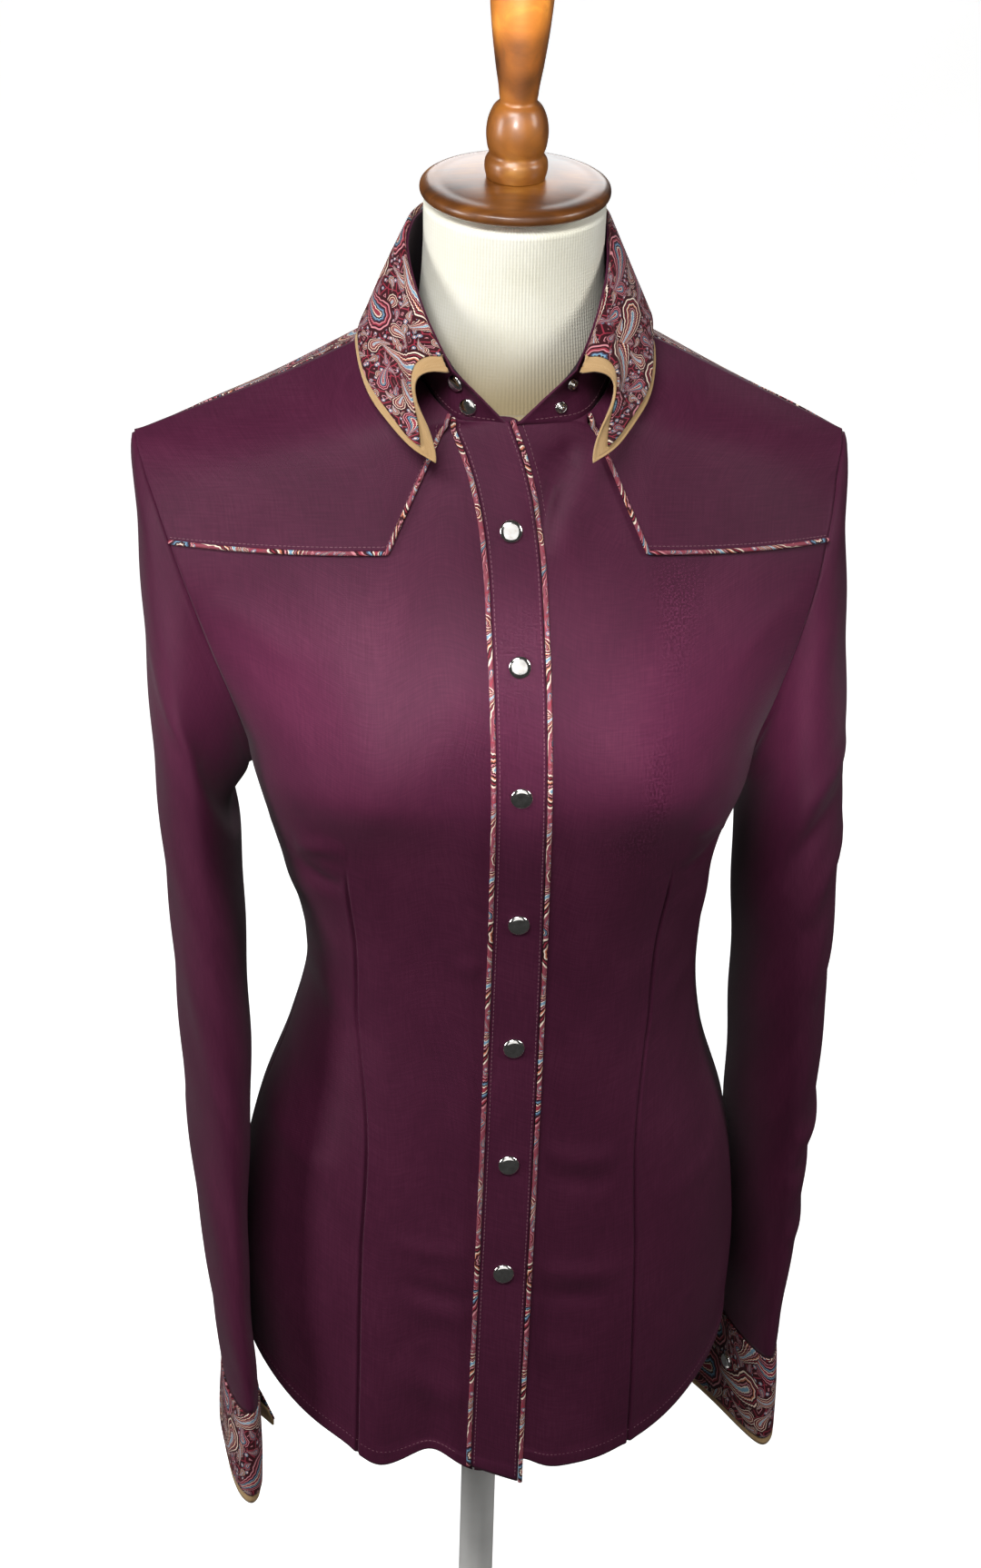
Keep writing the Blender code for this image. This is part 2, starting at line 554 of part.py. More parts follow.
def sleeve_control(side):
    """Rings that the sleeve passes through: the armhole, the sleeve head, then the table."""
    alpha = np.linspace(0, 2 * math.pi, 21)[:-1]
    rings = []
    for x, y, z, thick, wide, tilt, twist in SLEEVE_RINGS[side]:
        rings.append(sleeve_ring(alpha, x, y, z, thick, wide, tilt, twist))
    loop = armhole_loop(side, alpha)
    top = (1 + np.cos(alpha)) / 2
    start = loop + np.stack([0.0010 + 0.0014 * (1 - top), 0 * alpha, -0.0014 * (1 - top)], axis=-1)
    head = loop * 0.74 + rings[0] * 0.26
    head[:, 0] += 0.0020 * top
    head[:, 2] += 0.0060 * top**2
    return alpha, np.stack([start, head] + rings)


def sleeve_ring(alpha, x, y, z, thick, wide, tilt, twist):
    """Flattened ring; alpha 0 is its outer side, pi/2 its front fold."""
    twist = np.radians(twist)
    across = thick * np.cos(alpha)
    along = -wide * np.sin(alpha)
    ring_x = x + across * np.cos(twist) + along * np.sin(twist)
    ring_y = y - across * np.sin(twist) + along * np.cos(twist)
    return np.stack([ring_x, ring_y, z + tilt * np.cos(alpha)], axis=-1)


def from_front_fold(alpha):
    """0 on the front fold, about 1 on the back fold, rounded off at the front fold."""
    share = np.abs((alpha - math.pi / 2 + math.pi) % (2 * math.pi) - math.pi) / math.pi
    return np.sqrt(share**2 + CUFF_POINT_BLUNT**2) - CUFF_POINT_BLUNT


def mirror_side(points, side):
    """The wearer's right side is the left one at -X, with its columns the other way round."""
    if side == "left":
        return points
    return (points * (-1, 1, 1))[:, ::-1]


def cuff_ring(side, alpha, depth):
    """Ring of a cuff: depth 0 at its seam and 1 at its pointed lower edge."""
    x, y, z, thick, wide, _, twist = SLEEVE_RINGS[side][-1]
    fold = from_front_fold(alpha)
    seam_z = z - CUFF_FOLD_DROP + CUFF_TOP_RISE[side] * fold
    edge_z = z - CUFF_FOLD_DROP - CUFF_DEPTH + CUFF_EDGE_RISE[side] * fold
    full = 1 + CUFF_END_FULLNESS[side] * np.clip(depth, 0, 1) * np.sin(alpha)**2
    ring = sleeve_ring(alpha, x, y, z, (thick + 0.0008) * full, wide + 0.0008, 0.0, twist)
    ring[..., 2] = seam_z + (edge_z - seam_z) * depth
    slit = math.radians(CUFF_SLIT_TURN[side])
    if CUFF_LOOSE_END[side] > 0:
        from_slit = slit - alpha
    else:
        from_slit = alpha - (slit - 2 * math.pi + CUFF_END_TURN)
    near = np.clip(1 - from_slit / CUFF_FLARE_TURN, 0, 1)
    ring[..., 0] -= CUFF_FLARE[side] * near**2 * np.clip((depth - 0.25) / 0.75, 0, 1)
    return ring


def cuff_normal(side, alpha, depth):
    """Level normal of a cuff, out of the sleeve."""
    step = 0.02
    run = cuff_ring(side, alpha + step, depth) - cuff_ring(side, alpha - step, depth)
    normal = np.stack([-run[..., 1], run[..., 0], 0 * run[..., 0]], axis=-1)
    return normal / np.linalg.norm(normal, axis=-1, keepdims=True)


def build_sleeves():
    for side in ("right", "left"):
        alpha, control = sleeve_control(side)
        knots = np.concatenate(([0.0], np.cumsum(
            np.linalg.norm(np.diff(control, axis=0), axis=2).mean(axis=1))))
        knots /= knots[-1]
        where = np.concatenate([[0.0, 0.018, 0.045], np.linspace(0.09, 1.0, 11)])
        rings = np.stack([through(knots, control[:, i], where) for i in range(len(alpha))], axis=1)
        lower = np.clip((where - 0.86) / 0.14, 0, 1)[:, None]
        seam_drop = -CUFF_FOLD_DROP + CUFF_TOP_RISE[side] * from_front_fold(alpha)[None, :]
        rings[..., 2] += lower * (seam_drop + CUFF_SEAM_GAP)
        cloth("sleeve_" + side, mirror_side(rings, side), PLUM, wrap=True)

        slit = math.radians(CUFF_SLIT_TURN[side])
        turn = alpha[None, :] + 2 * math.pi * np.array([[-1], [0]])
        clear = (turn > slit - 2 * math.pi + 2 * CUFF_END_TURN) & (turn < slit - CUFF_END_TURN)
        turn = np.sort(turn[clear])
        turn = np.concatenate([[slit - 2 * math.pi + CUFF_END_TURN], turn, [slit]])[None, :]
        depth = np.linspace(0.0, 1.0, 4)[:, None]
        turn, depth = np.broadcast_arrays(turn, depth)
        ring = cuff_ring(side, turn, depth)
        cloth("cuff_" + side, mirror_side(ring, side), PAISLEY)
        show = EDGE_SHOW / CUFF_DEPTH
        depth = np.array([1.0 - 2.0 * show, 1.0, 1.0 + show])[:, None]
        turn, depth = np.broadcast_arrays(turn[:1], depth)
        ring = cuff_ring(side, turn, depth) - cuff_normal(side, turn, depth) * CUFF_EDGE_INSET
        cloth("cuff_edge_" + side, mirror_side(ring, side), TAN, thickness=FLANGE_THICKNESS)

        spot, normal = cuff_snap_place(side)
        turned("cuff_snap_" + side, snap_profile(CUFF_SNAP_RADIUS), 12, NICKEL, spot, normal)


def cuff_snap_place(side):
    """A snap near the cuff's end, on the outside of the cloth: its place and direction."""
    turn, depth = np.array([math.radians(CUFF_SNAP_TURN[side])]), np.array([0.45])
    normal = cuff_normal(side, turn, depth)[0]
    spot = cuff_ring(side, turn, depth)[0] + normal * CUFF_SNAP_LIFT
    mirror = (-1, 1, 1) if side == "right" else (1, 1, 1)
    return spot * mirror, normal * mirror


# ---------------------------------------------------------------- collar
def collar_curve(rows, u, shift):
    """A collar curve for u from -1 (wearer's right end) through 0 (centre back) to 1."""
    full = [(-x, y, z) for x, y, z in rows[:0:-1]] + list(rows)
    knots = [-share for share in COLLAR_SHARES[:0:-1]] + list(COLLAR_SHARES)
    place = through(knots, full, u)
    place[..., 0] += shift
    return place


def roll_point(u):
    """The roll, moved towards the wearer's right from the neck's side forwards."""
    place = collar_curve(ROLL_CURVE, u, 0.0)
    return place + roll_shift(place)


def roll_shift(place):
    share = np.clip((0.02 - place[..., 1]) / 0.03, 0, 1)
    return share[..., None] * np.array([COLLAR_SHIFT, 0.0, 0.0])


def stand_point(u, v):
    """Collar stand: v from the neckline (0) to the roll (1), straight between the two."""
    low = collar_curve(NECKLINE_CURVE, u, COLLAR_SHIFT * np.clip((np.abs(u) - 0.8) / 0.2, 0, 1))
    high = roll_point(u)
    return low + (high - low) * v[..., None]


def leaf_point(u, v):
    """Collar leaf: v from the roll (0) to the outer edge (1), bulging out between them."""
    roll, edge = roll_point(u), collar_curve(LEAF_EDGE_CURVE, u, 0.0)
    edge = edge + roll_shift(edge)
    away = roll * (1, 1, 0)
    away = away / np.linalg.norm(away, axis=-1, keepdims=True)
    arch = np.sin(math.pi * np.clip(v, 0, 1))[..., None]
    front = np.clip((np.abs(u) - LEAF_FRONT_START) / (1 - LEAF_FRONT_START), 0, 1)
    bow = np.sin(math.pi * np.clip(v, 0, 1)**LEAF_BOW_HIGH)**LEAF_BOW_FULL
    place = roll + (edge - roll) * v[..., None]
    standoff = LEAF_STANDOFF + LEAF_FRONT_STANDOFF * front[..., None]
    place = place + away * (LEAF_BULGE * arch + standoff)
    place[..., 2] += LEAF_ROUND_UP
    place[..., 0] += np.sign(u) * front * LEAF_FRONT_BOW * bow
    return place


def leaf_normal(u, v):
    """Unit normals of the leaf, out of the collar."""
    step = 1e-3
    high, low = np.minimum(u + step, 1), np.maximum(u - step, -1)
    normal = np.cross(leaf_point(high, v) - leaf_point(low, v),
                      leaf_point(u, v + step) - leaf_point(u, v - step))
    return normal / np.linalg.norm(normal, axis=-1, keepdims=True)


LEAF_COLUMNS = 27
LEAF_ROWS = np.array([0.0, 0.05, 0.35, 0.7, 1.0])


def flange_border(inset):
    """(u, v) along the leaf's border, set in by a share of its front band and its edge border."""
    end, low = 1 - inset * LEAF_FRONT_SHOW, 1 - inset * LEAF_EDGE_SHOW
    rise = LEAF_ROWS * low
    run = np.linspace(-end, end, LEAF_COLUMNS)
    u = np.concatenate([np.full(len(rise) - 1, -end), run, np.full(len(rise) - 1, end)])
    v = np.concatenate([rise[:-1], np.full(LEAF_COLUMNS, low), rise[-2::-1]])
    return u, v


def build_collar():
    u = np.linspace(-1, 1, LEAF_COLUMNS)[None, :]
    v = np.linspace(1, 0, 3)[:, None]
    u, v = np.broadcast_arrays(u, v)
    cloth("collar_stand", stand_point(u, v), PLUM)
    u = np.linspace(-1, 1, LEAF_COLUMNS)[None, :] * (1 - LEAF_FRONT_SHOW)
    v = LEAF_ROWS[:, None] * (1 - LEAF_EDGE_SHOW)
    u, v = np.broadcast_arrays(u, v)
    cloth("collar_leaf", leaf_point(u, v), PAISLEY)
    borders = [flange_border(inset) for inset in (0.0, 1.0, 1.8)]
    u, v = (np.stack(axis) for axis in zip(*borders))
    under = leaf_point(u, v) - leaf_normal(u, v) * FLANGE_INSET
    cloth("collar_flange", under[::-1], TAN, thickness=FLANGE_THICKNESS)


# ---------------------------------------------------------------- snaps
def snap_profile(radius):
    """A pressed snap cap: a low dome with a rolled rim, 2.6 mm high."""
    return ((0.0, 0.0026), (radius * 0.55, 0.0025), (radius * 0.88, 0.0020), (radius, 0.0011),
            (radius * 0.96, 0.0), (0.0, 0.0))


def stud_profile(radius):
    """A snap stud: a ring with a knob in it."""
    return ((0.0, 0.0034), (radius * 0.38, 0.0031), (radius * 0.45, 0.0022), (radius * 0.42, 0.0012),
            (radius * 0.80, 0.0014), (radius, 0.0008), (radius * 0.97, 0.0), (0.0, 0.0))


def build_snaps():
    for number, height in enumerate(SNAP_HEIGHTS, start=1):
        t = solve(lambda share: front_point(0.0, share)[..., 2] - height, 0.0, 1.0)
        s = placket_s(np.zeros(1), np.array([float(t)]))
        spot = front_lifted(s, np.array([float(t)]), LAYER_LIFT + SEAM_GAP)[0]
        normal = outward(front_point, s, np.array([float(t)]), 1)[0]
        turned("placket_snap_%d" % number, snap_profile(SNAP_RADIUS), 14, NICKEL, spot, normal)
    stand_spots = (("stand_snap_upper", -0.900, 0.50, snap_profile(STAND_SNAP_RADIUS)),
                   ("stand_snap_lower", -0.905, 0.20, snap_profile(STAND_SNAP_RADIUS)),
                   ("stand_stud_upper", 0.905, 0.50, stud_profile(STUD_RADIUS)),
                   ("stand_stud_lower", 0.910, 0.20, stud_profile(STUD_RADIUS)))
    for name, u, v, profile in stand_spots:
        u, v = np.array([u]), np.array([v])
        step = 1e-3
        along = stand_point(u + step, v) - stand_point(u - step, v)
        up = stand_point(u, v + step) - stand_point(u, v - step)
        normal = np.cross(up, along)[0]
        normal /= np.linalg.norm(normal)
        spot = stand_point(u, v)[0] + normal * STAND_SNAP_LIFT
        turned(name, profile, 12, NICKEL, spot, normal)


# ---------------------------------------------------------------- dress form
def form_ring(t):
    """A ring of the form's trunk: front, armhole plate, back, armhole plate."""
    s = np.linspace(-FORM_SIDE, FORM_SIDE, FORM_COLUMNS)
    inset = FORM_INSET + FORM_NECK_INSET * np.clip((t - 0.85) / 0.06, 0, 1)
    front = lifted(trunk_front_point, s, np.full_like(s, t), -inset, 1)
    back = back_lifted(s[::-1], np.full_like(s, t), -inset)
    return np.concatenate([front, plate(front[-1], back[0]), back, plate(back[-1], front[0])])


def plate(start, end):
    """Two points between the front and back edges of an armhole, so it closes flat."""
    return np.stack([start + (end - start) * share for share in (0.33, 0.67)])


def across_faces(first):
    """Quads that close a ring of the trunk, front to back, from the ring's first vertex on."""
    n = FORM_COLUMNS
    faces = [(i, i + 1, 2 * n - i, 2 * n + 1 - i) for i in range(n - 1)]
    faces += [(n - 1, n, n + 1, n + 2), (2 * n + 1, 2 * n + 2, 2 * n + 3, 0)]
    return [tuple(first + i for i in face) for face in faces]


def closed_tube(name, rings, end_faces):
    """A closed tube of rings with the given end faces, all faces looking out."""
    mesh = grid_mesh(name, rings, wrap=True)
    work = bmesh.new()
    work.from_mesh(mesh)
    work.verts.ensure_lookup_table()
    for face in end_faces:
        work.faces.new([work.verts[i] for i in face])
    bmesh.ops.recalc_face_normals(work, faces=work.faces)
    work.to_mesh(mesh)
    work.free()
    return mesh


def build_form():
    low = float(solve(lambda t: front_point(0.0, t)[..., 2] - FORM_BOTTOM_Z, 0.0, 1.0))
    rings = np.stack([form_ring(t) for t in np.linspace(low, FORM_TOP_SHARE, 20)])
    rings[0, :, 2] = FORM_BOTTOM_Z
    count = rings.shape[1]
    trunk = add("form_torso", closed_tube("form_torso", rings, across_faces(0)
                                          + across_faces(19 * count)), JERSEY)

    angle = np.linspace(0, 2 * math.pi, 33)[:-1]
    rings = []
    for z, half, front, back in NECK_RINGS:
        depth = np.where(np.sin(angle) < 0, front, back)
        rings.append(np.stack([half * np.cos(angle), depth * np.sin(angle),
                               np.full_like(angle, z)], axis=-1))
    rings = np.stack(rings)
    rings[-1, :, 2] += rings[-1, :, 1] * math.tan(CAP_TILT)
    ends = [tuple(range(32)), tuple(range(32 * (len(rings) - 1), 32 * len(rings)))]
    neck = bpy.data.objects.new("neck_block", closed_tube("neck_block", rings, ends))
    cutters.objects.link(neck)
    neck.hide_render = True
    neck.display_type = "WIRE"
    join = trunk.modifiers.new("neck", "BOOLEAN")
    join.operation = "UNION"
    join.solver = "FAST"
    join.object = neck

    lean = (0.0, -math.sin(CAP_TILT), math.cos(CAP_TILT))
    turned("neck_cap", CAP_PROFILE, 36, WOOD, (0, 0, CAP_CENTRE_Z), lean)
    turned("finial", FINIAL_PROFILE, 20, WOOD, (0, 0, CAP_CENTRE_Z), lean)
    pole_top = FORM_BOTTOM_Z - SEAM_GAP
    turned("pole", ((0.0, pole_top), (POLE_RADIUS, pole_top),
                    (POLE_RADIUS, BASE_THICKNESS + SEAM_GAP), (0.0, BASE_THICKNESS + SEAM_GAP)),
           16, WHITE_STEEL)
    turned("base", ((0.0, BASE_THICKNESS), (BASE_RADIUS - 0.003, BASE_THICKNESS),
                    (BASE_RADIUS, BASE_THICKNESS - 0.003), (BASE_RADIUS, 0.0), (0.0, 0.0)),
           36, WHITE_STEEL)


CAP_PROFILE = ((0.0, 0.0035), (0.020, 0.0032), (0.040, 0.0016), (CAP_RADIUS - 0.002, 0.0),
               (CAP_RADIUS, -0.0016), (CAP_RADIUS - 0.0002, -0.0046), (CAP_RADIUS - 0.0022, -0.0062),
               (0.0, -0.0062))
# The finial: a bulb under a handle that widens upwards and ends round.
FINIAL_PROFILE = ((0.0, FINIAL_HEIGHT), (0.0075, 0.1345), (0.0135, 0.1295), (0.0168, 0.1200),
                  (0.0172, 0.1080), (0.0158, 0.0880), (0.0130, 0.0660), (0.0106, 0.0500),
                  (0.0104, 0.0455), (0.0122, 0.0440), (0.0152, 0.0385), (0.0168, 0.0300),
                  (0.0160, 0.0210), (0.0150, 0.0165), (0.0166, 0.0140), (0.0172, 0.0090),
                  (0.0160, 0.0045), (0.0, 0.0045))

build_body()
build_placket()
build_sleeves()
build_collar()
build_snaps()
build_form()
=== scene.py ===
# %% [markdown]
# # A western snap shirt on a dress form
# The shirt is sewn from flat panels of thin cloth. Each panel here is a surface: a function of two
# numbers, s across the body and t up it, worked out for a whole grid of points at once. Folds are
# small moves of that surface along its own normals, so no panel ever leaves the form it lies on.

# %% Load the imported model
import math
import bmesh
import bpy
import numpy as np
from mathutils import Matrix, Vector


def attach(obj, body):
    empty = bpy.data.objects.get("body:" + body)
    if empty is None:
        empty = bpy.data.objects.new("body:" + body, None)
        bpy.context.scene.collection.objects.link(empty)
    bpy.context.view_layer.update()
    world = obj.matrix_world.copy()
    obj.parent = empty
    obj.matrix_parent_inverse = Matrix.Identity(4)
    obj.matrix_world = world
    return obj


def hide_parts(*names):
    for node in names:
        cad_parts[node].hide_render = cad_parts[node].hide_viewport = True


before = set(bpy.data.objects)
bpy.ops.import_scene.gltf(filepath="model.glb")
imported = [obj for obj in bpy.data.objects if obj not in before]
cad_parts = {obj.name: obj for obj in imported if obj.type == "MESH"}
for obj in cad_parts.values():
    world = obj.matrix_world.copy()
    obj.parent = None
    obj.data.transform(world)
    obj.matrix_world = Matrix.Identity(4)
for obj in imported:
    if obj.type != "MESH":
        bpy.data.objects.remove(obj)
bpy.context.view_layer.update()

# %% [markdown]
# ## The camera
# A product picture of a shirt is taken from a little above with a long lens, so that shoulders and
# hem keep their proportions. The direction is given by turn, pitch and roll, because a camera that
# is aimed at a point can't be rolled.

# %% Camera
CAMERA_PLACE = np.array([-0.1569, -1.7932, 1.62])
CAMERA_TURN, CAMERA_PITCH, CAMERA_ROLL = 0.0848, 0.4459, 0.0279         # radians
SENSOR_HEIGHT = 36.0                    # mm
LENS_FOR_FULL_HEIGHT = 3750 / 1726      # focal length as a share of the picture's height

ahead = np.array([math.sin(CAMERA_TURN), math.cos(CAMERA_TURN), 0.0])
right = np.array([math.cos(CAMERA_TURN), -math.sin(CAMERA_TURN), 0.0])
above = np.array([0.0, 0.0, 1.0])
view = ahead * math.cos(CAMERA_PITCH) - above * math.sin(CAMERA_PITCH)
up = above * math.cos(CAMERA_PITCH) + ahead * math.sin(CAMERA_PITCH)
axes = (right * math.cos(CAMERA_ROLL) + up * math.sin(CAMERA_ROLL),
        -right * math.sin(CAMERA_ROLL) + up * math.cos(CAMERA_ROLL), -view)
camera_data = bpy.data.cameras.new("camera")
camera_data.sensor_fit = "VERTICAL"
camera_data.sensor_height = SENSOR_HEIGHT
camera_data.lens = SENSOR_HEIGHT * LENS_FOR_FULL_HEIGHT
camera = bpy.data.objects.new("camera", camera_data)
bpy.context.scene.collection.objects.link(camera)
matrix = np.eye(4)
matrix[:3, :3] = np.stack(axes, axis=1)
matrix[:3, 3] = CAMERA_PLACE
camera.matrix_world = matrix.T.tolist()
bpy.context.scene.camera = camera

# %% [markdown]
# ## Colours and nodes
# Colours are picked as sRGB hex values, as on a dyer's card, and Blender's shaders work in linear
# light, so one function converts them. A second function adds any node with its settings and its
# inputs; an input is either a constant or another node, whose first output is then linked. A few
# short ones call it for what comes up most: ramps, noise, arithmetic, and a colour with a bump.

# %% Colour and node helpers
def linear(code):
    """Linear RGBA of an sRGB hex colour: each channel goes through the sRGB curve."""
    channels = np.array([int(code[i:i + 2], 16) / 255 for i in (1, 3, 5)])
    bright = ((channels + 0.055) / 1.055)**2.4
    return (*np.where(channels <= 0.04045, channels / 12.92, bright), 1.0)


def node(tree, kind, inputs=None, **settings):
    """A node of any kind: settings are its own, inputs are constants, nodes or sockets."""
    made = tree.nodes.new("ShaderNode" + kind)
    for name, value in settings.items():
        setattr(made, name, value)
    for socket, value in (inputs or {}).items():
        if isinstance(value, bpy.types.Node):
            value = value.outputs[0]
        if isinstance(value, bpy.types.NodeSocket):
            tree.links.new(value, made.inputs[socket])
        else:
            made.inputs[socket].default_value = value
    return made


def blank_material(name, **shader_inputs):
    """A Principled material; the constants are set on the shader's own sockets."""
    made = bpy.data.materials.new(name)
    made.use_nodes = True
    shader = made.node_tree.nodes["Principled BSDF"]
    for socket, value in shader_inputs.items():
        shader.inputs[socket.replace("_", " ")].default_value = value
    return made, made.node_tree, shader


def ramp(tree, factor, stops, interpolation="LINEAR"):
    """A colour ramp: stops are (place, hex colour)."""
    made = node(tree, "ValToRGB", {"Fac": factor})
    made.color_ramp.interpolation = interpolation
    elements = made.color_ramp.elements
    elements[0].position, elements[0].color = stops[0][0], linear(stops[0][1])
    elements[1].position, elements[1].color = stops[-1][0], linear(stops[-1][1])
    for place, code in stops[1:-1]:
        elements.new(place).color = linear(code)
    return made


def noise(tree, where, scale, detail, **more):
    """Smooth noise of so many cycles a metre, with so many octaves of finer noise added."""
    return node(tree, "TexNoise", {"Vector": where, "Scale": scale, "Detail": detail, **more})


def calc(tree, operation, *values):
    """A Math node; its one to three inputs are constants, nodes or sockets."""
    return node(tree, "Math", dict(enumerate(values)), operation=operation)


def dress(tree, shader, colour, height=None, strength=0.0, distance=0.0):
    """Links a colour to a shader, and a height to its normal as a bump so many metres deep."""
    tree.links.new(colour.outputs[0], shader.inputs["Base Color"])
    if height is not None:
        relief = node(tree, "Bump", {"Height": height, "Strength": strength,
                                     "Distance": distance})
        tree.links.new(relief.outputs[0], shader.inputs["Normal"])


# %% [markdown]
# ## Plum shirting
# The body is a fine, slightly lustrous woven cotton blend, dyed plum. Woven cloth is two crossed
# sets of threads: across the panel (weft) and up it (warp). Real threads here are 0.3 mm apart,
# too fine to show at arm's length, so the weave is drawn 0.9 mm apart, and long thin noise along
# each set gives the uneven threads (slubs). The pattern reads the panel's own UV map, which is in
# metres of cloth, so the threads follow the cut and bend with the folds.

# %% Woven cloth
THREAD_PITCH, WEAVE_DEPTH = 0.0009, 0.0002
SLUB_ACROSS, SLUB_ALONG = 900.0, 60.0        # cycles a metre


def weave_height(tree, cloth_metres):
    """A plain weave, sin(2 pi u / pitch) times sin(2 pi v / pitch), and its slubs."""
    split = node(tree, "SeparateXYZ", {0: cloth_metres})
    sines = [calc(tree, "SINE", calc(tree, "MULTIPLY", split.outputs[output],
                                     2 * math.pi / THREAD_PITCH)) for output in (0, 1)]
    slubs = []
    for scale in ((SLUB_ALONG, SLUB_ACROSS, 1.0), (SLUB_ACROSS, SLUB_ALONG, 1.0)):
        stretched = node(tree, "Mapping", {"Vector": cloth_metres, "Scale": scale})
        slubs.append(noise(tree, stretched, 1.0, 2.0))
    return calc(tree, "MULTIPLY", *sines), calc(tree, "ADD", *slubs)


def woven(name, dark, base, light, roughness, sheen, bump=0.25):
    """Woven cloth: thread-by-thread lights and darks, soft patches, and a bumped weave."""
    made, tree, shader = blank_material(name, Roughness=roughness, Sheen_Weight=sheen,
                                        Sheen_Roughness=0.45, Specular_IOR_Level=0.16)
    cloth_metres = node(tree, "TexCoord").outputs["UV"]
    crossed, slub = weave_height(tree, cloth_metres)
    patch = noise(tree, cloth_metres, 14.0, 3.0)
    threads = calc(tree, "MULTIPLY_ADD", crossed, 0.25, slub)
    level = calc(tree, "MULTIPLY_ADD", patch, 1.60, threads)
    shade = node(tree, "MapRange", {"Value": level, "From Min": 0.80, "From Max": 2.80})
    dress(tree, shader, ramp(tree, shade, ((0.0, dark), (0.5, base), (1.0, light))),
          calc(tree, "MULTIPLY_ADD", crossed, 0.5, slub), bump, WEAVE_DEPTH)
    return made


PLUM = woven("plum_woven_shirting", "#3a1127", "#4a1832", "#5b253f", 0.55, 0.05)
# The inner side is a much darker copy of the plum: painted shade for the shadow inside the collar,
# cuffs, sleeves and panels.
PLUM_SHADED_INSIDE = woven("plum_shirting_painted_shade_inside", "#1d0c17", "#25101d", "#2f1626", 0.85, 0.05)
TAN = woven("tan_woven_cotton", "#a07f50", "#b8966a", "#c8aa80", 0.80, 0.20, 0.35)

# %% [markdown]
# ## Paisley print
# Collar, cuffs, back yoke and piping are cut from a small dense paisley. A paisley is a teardrop
# with a bent tip, filled with teardrop-shaped rings. One number does it: q is how far up the tail
# a point is, the middle line bends sideways by q squared, and the width shrinks evenly to the tip.
# The distance from that middle line, divided by the width, is the same all along one ring, so a
# colour ramp on it paints every ring at once. Voronoi cells place the motifs: each cell gives its
# own centre and its own random turn, so no two neighbours match, as in a hand-drawn print.

# %% Paisley print
GROUND, CREAM, PINK, ROSE = "#380a14", "#f3dfcc", "#d08a92", "#962f40"
SALMON, SLATE, SKY, WINE = "#cc7a5c", "#43526e", "#7aa2bc", "#561424"
RINGS_WARM = ((0.0, SKY), (0.12, CREAM), (0.19, WINE), (0.30, PINK), (0.37, GROUND),
              (0.50, SALMON), (0.58, CREAM), (0.65, GROUND), (0.77, ROSE), (0.83, GROUND),
              (0.92, CREAM))
RINGS_COOL = ((0.0, ROSE), (0.14, CREAM), (0.22, GROUND), (0.33, SKY), (0.42, SLATE),
              (0.50, GROUND), (0.62, PINK), (0.69, ROSE), (0.79, GROUND), (0.91, PINK))
BEND, TAIL = 0.26, 2.9          # sideways bend of the tail, and its length in bulb radii
BULB_SEAT = (0.55, 0.65)        # where the bulb's middle sits in its cell, in bulb radii
THINNEST_TAIL, BEADS, BEAD_DEPTH = 0.03, 9.0, 0.030
DROP_RIM, DROP_HALO = 1.02, 1.22
VINE_CELL, FLOWER_CELL, FLOWER_RADIUS = 0.0070, 0.0040, 0.32
ANY_TURN, SLIGHT_TURN = 6.28, 1.6
# Motifs, small to large: cell in metres, share of it filled, shift of the cells, random turn.
MOTIFS = ((0.0110, 0.85, 0.013, ANY_TURN), (0.0200, 0.95, 0.031, ANY_TURN),
          (0.0360, 1.15, 0.005, SLIGHT_TURN))


def teardrops(tree, print_metres, cell, fill, offset, spin):
    """Colours of one size of paisley, and masks of it by ring number: 0 in its middle, 1 at its
    rim, the root of (distance from the bent line / width) squared + (depth below it) squared."""
    moved = node(tree, "VectorMath", {0: print_metres, 1: (offset, offset * 1.7, 0.0)},
                 operation="ADD")
    cells = node(tree, "TexVoronoi", {"Vector": moved, "Scale": 1 / cell, "Randomness": 0.55},
                 voronoi_dimensions="2D")
    local = node(tree, "VectorMath", {0: moved, 1: cells.outputs["Position"]},
                 operation="SUBTRACT")
    chance = node(tree, "SeparateXYZ", {0: cells.outputs["Color"]})
    turn = calc(tree, "MULTIPLY", chance.outputs[0], spin)
    turned = node(tree, "VectorRotate", {"Vector": local, "Angle": turn}, rotation_type="Z_AXIS")
    bulb = cell * fill / (TAIL + 1)
    sized = node(tree, "VectorMath", {0: turned, "Scale": 1 / bulb}, operation="SCALE")
    place = node(tree, "SeparateXYZ", {0: sized})
    x, y = (calc(tree, "ADD", place.outputs[axis], BULB_SEAT[axis]) for axis in (0, 1))
    q, below = calc(tree, "MAXIMUM", y, 0.0), calc(tree, "MINIMUM", y, 0.0)
    from_line = calc(tree, "MULTIPLY_ADD", calc(tree, "MULTIPLY", q, q), -BEND, x)
    width = calc(tree, "MAXIMUM", calc(tree, "MULTIPLY_ADD", q, -1 / TAIL, 1.0), THINNEST_TAIL)
    across = calc(tree, "DIVIDE", from_line, width)
    around = calc(tree, "MULTIPLY_ADD", below, below, calc(tree, "MULTIPLY", across, across))
    angle = calc(tree, "ARCTAN2", from_line, y)
    along = calc(tree, "MULTIPLY_ADD", q, 2.6, angle)
    beads = calc(tree, "SINE", calc(tree, "MULTIPLY", along, BEADS))
    ring = calc(tree, "MULTIPLY_ADD", beads, BEAD_DEPTH, calc(tree, "SQRT", around))
    warm, cool = (ramp(tree, ring, rings, "CONSTANT") for rings in (RINGS_WARM, RINGS_COOL))
    which = calc(tree, "GREATER_THAN", chance.outputs[1], 0.5)
    colour = node(tree, "MixRGB", {"Fac": which, "Color1": warm, "Color2": cool})
    return colour, *(calc(tree, "LESS_THAN", ring, limit) for limit in (DROP_RIM, DROP_HALO))


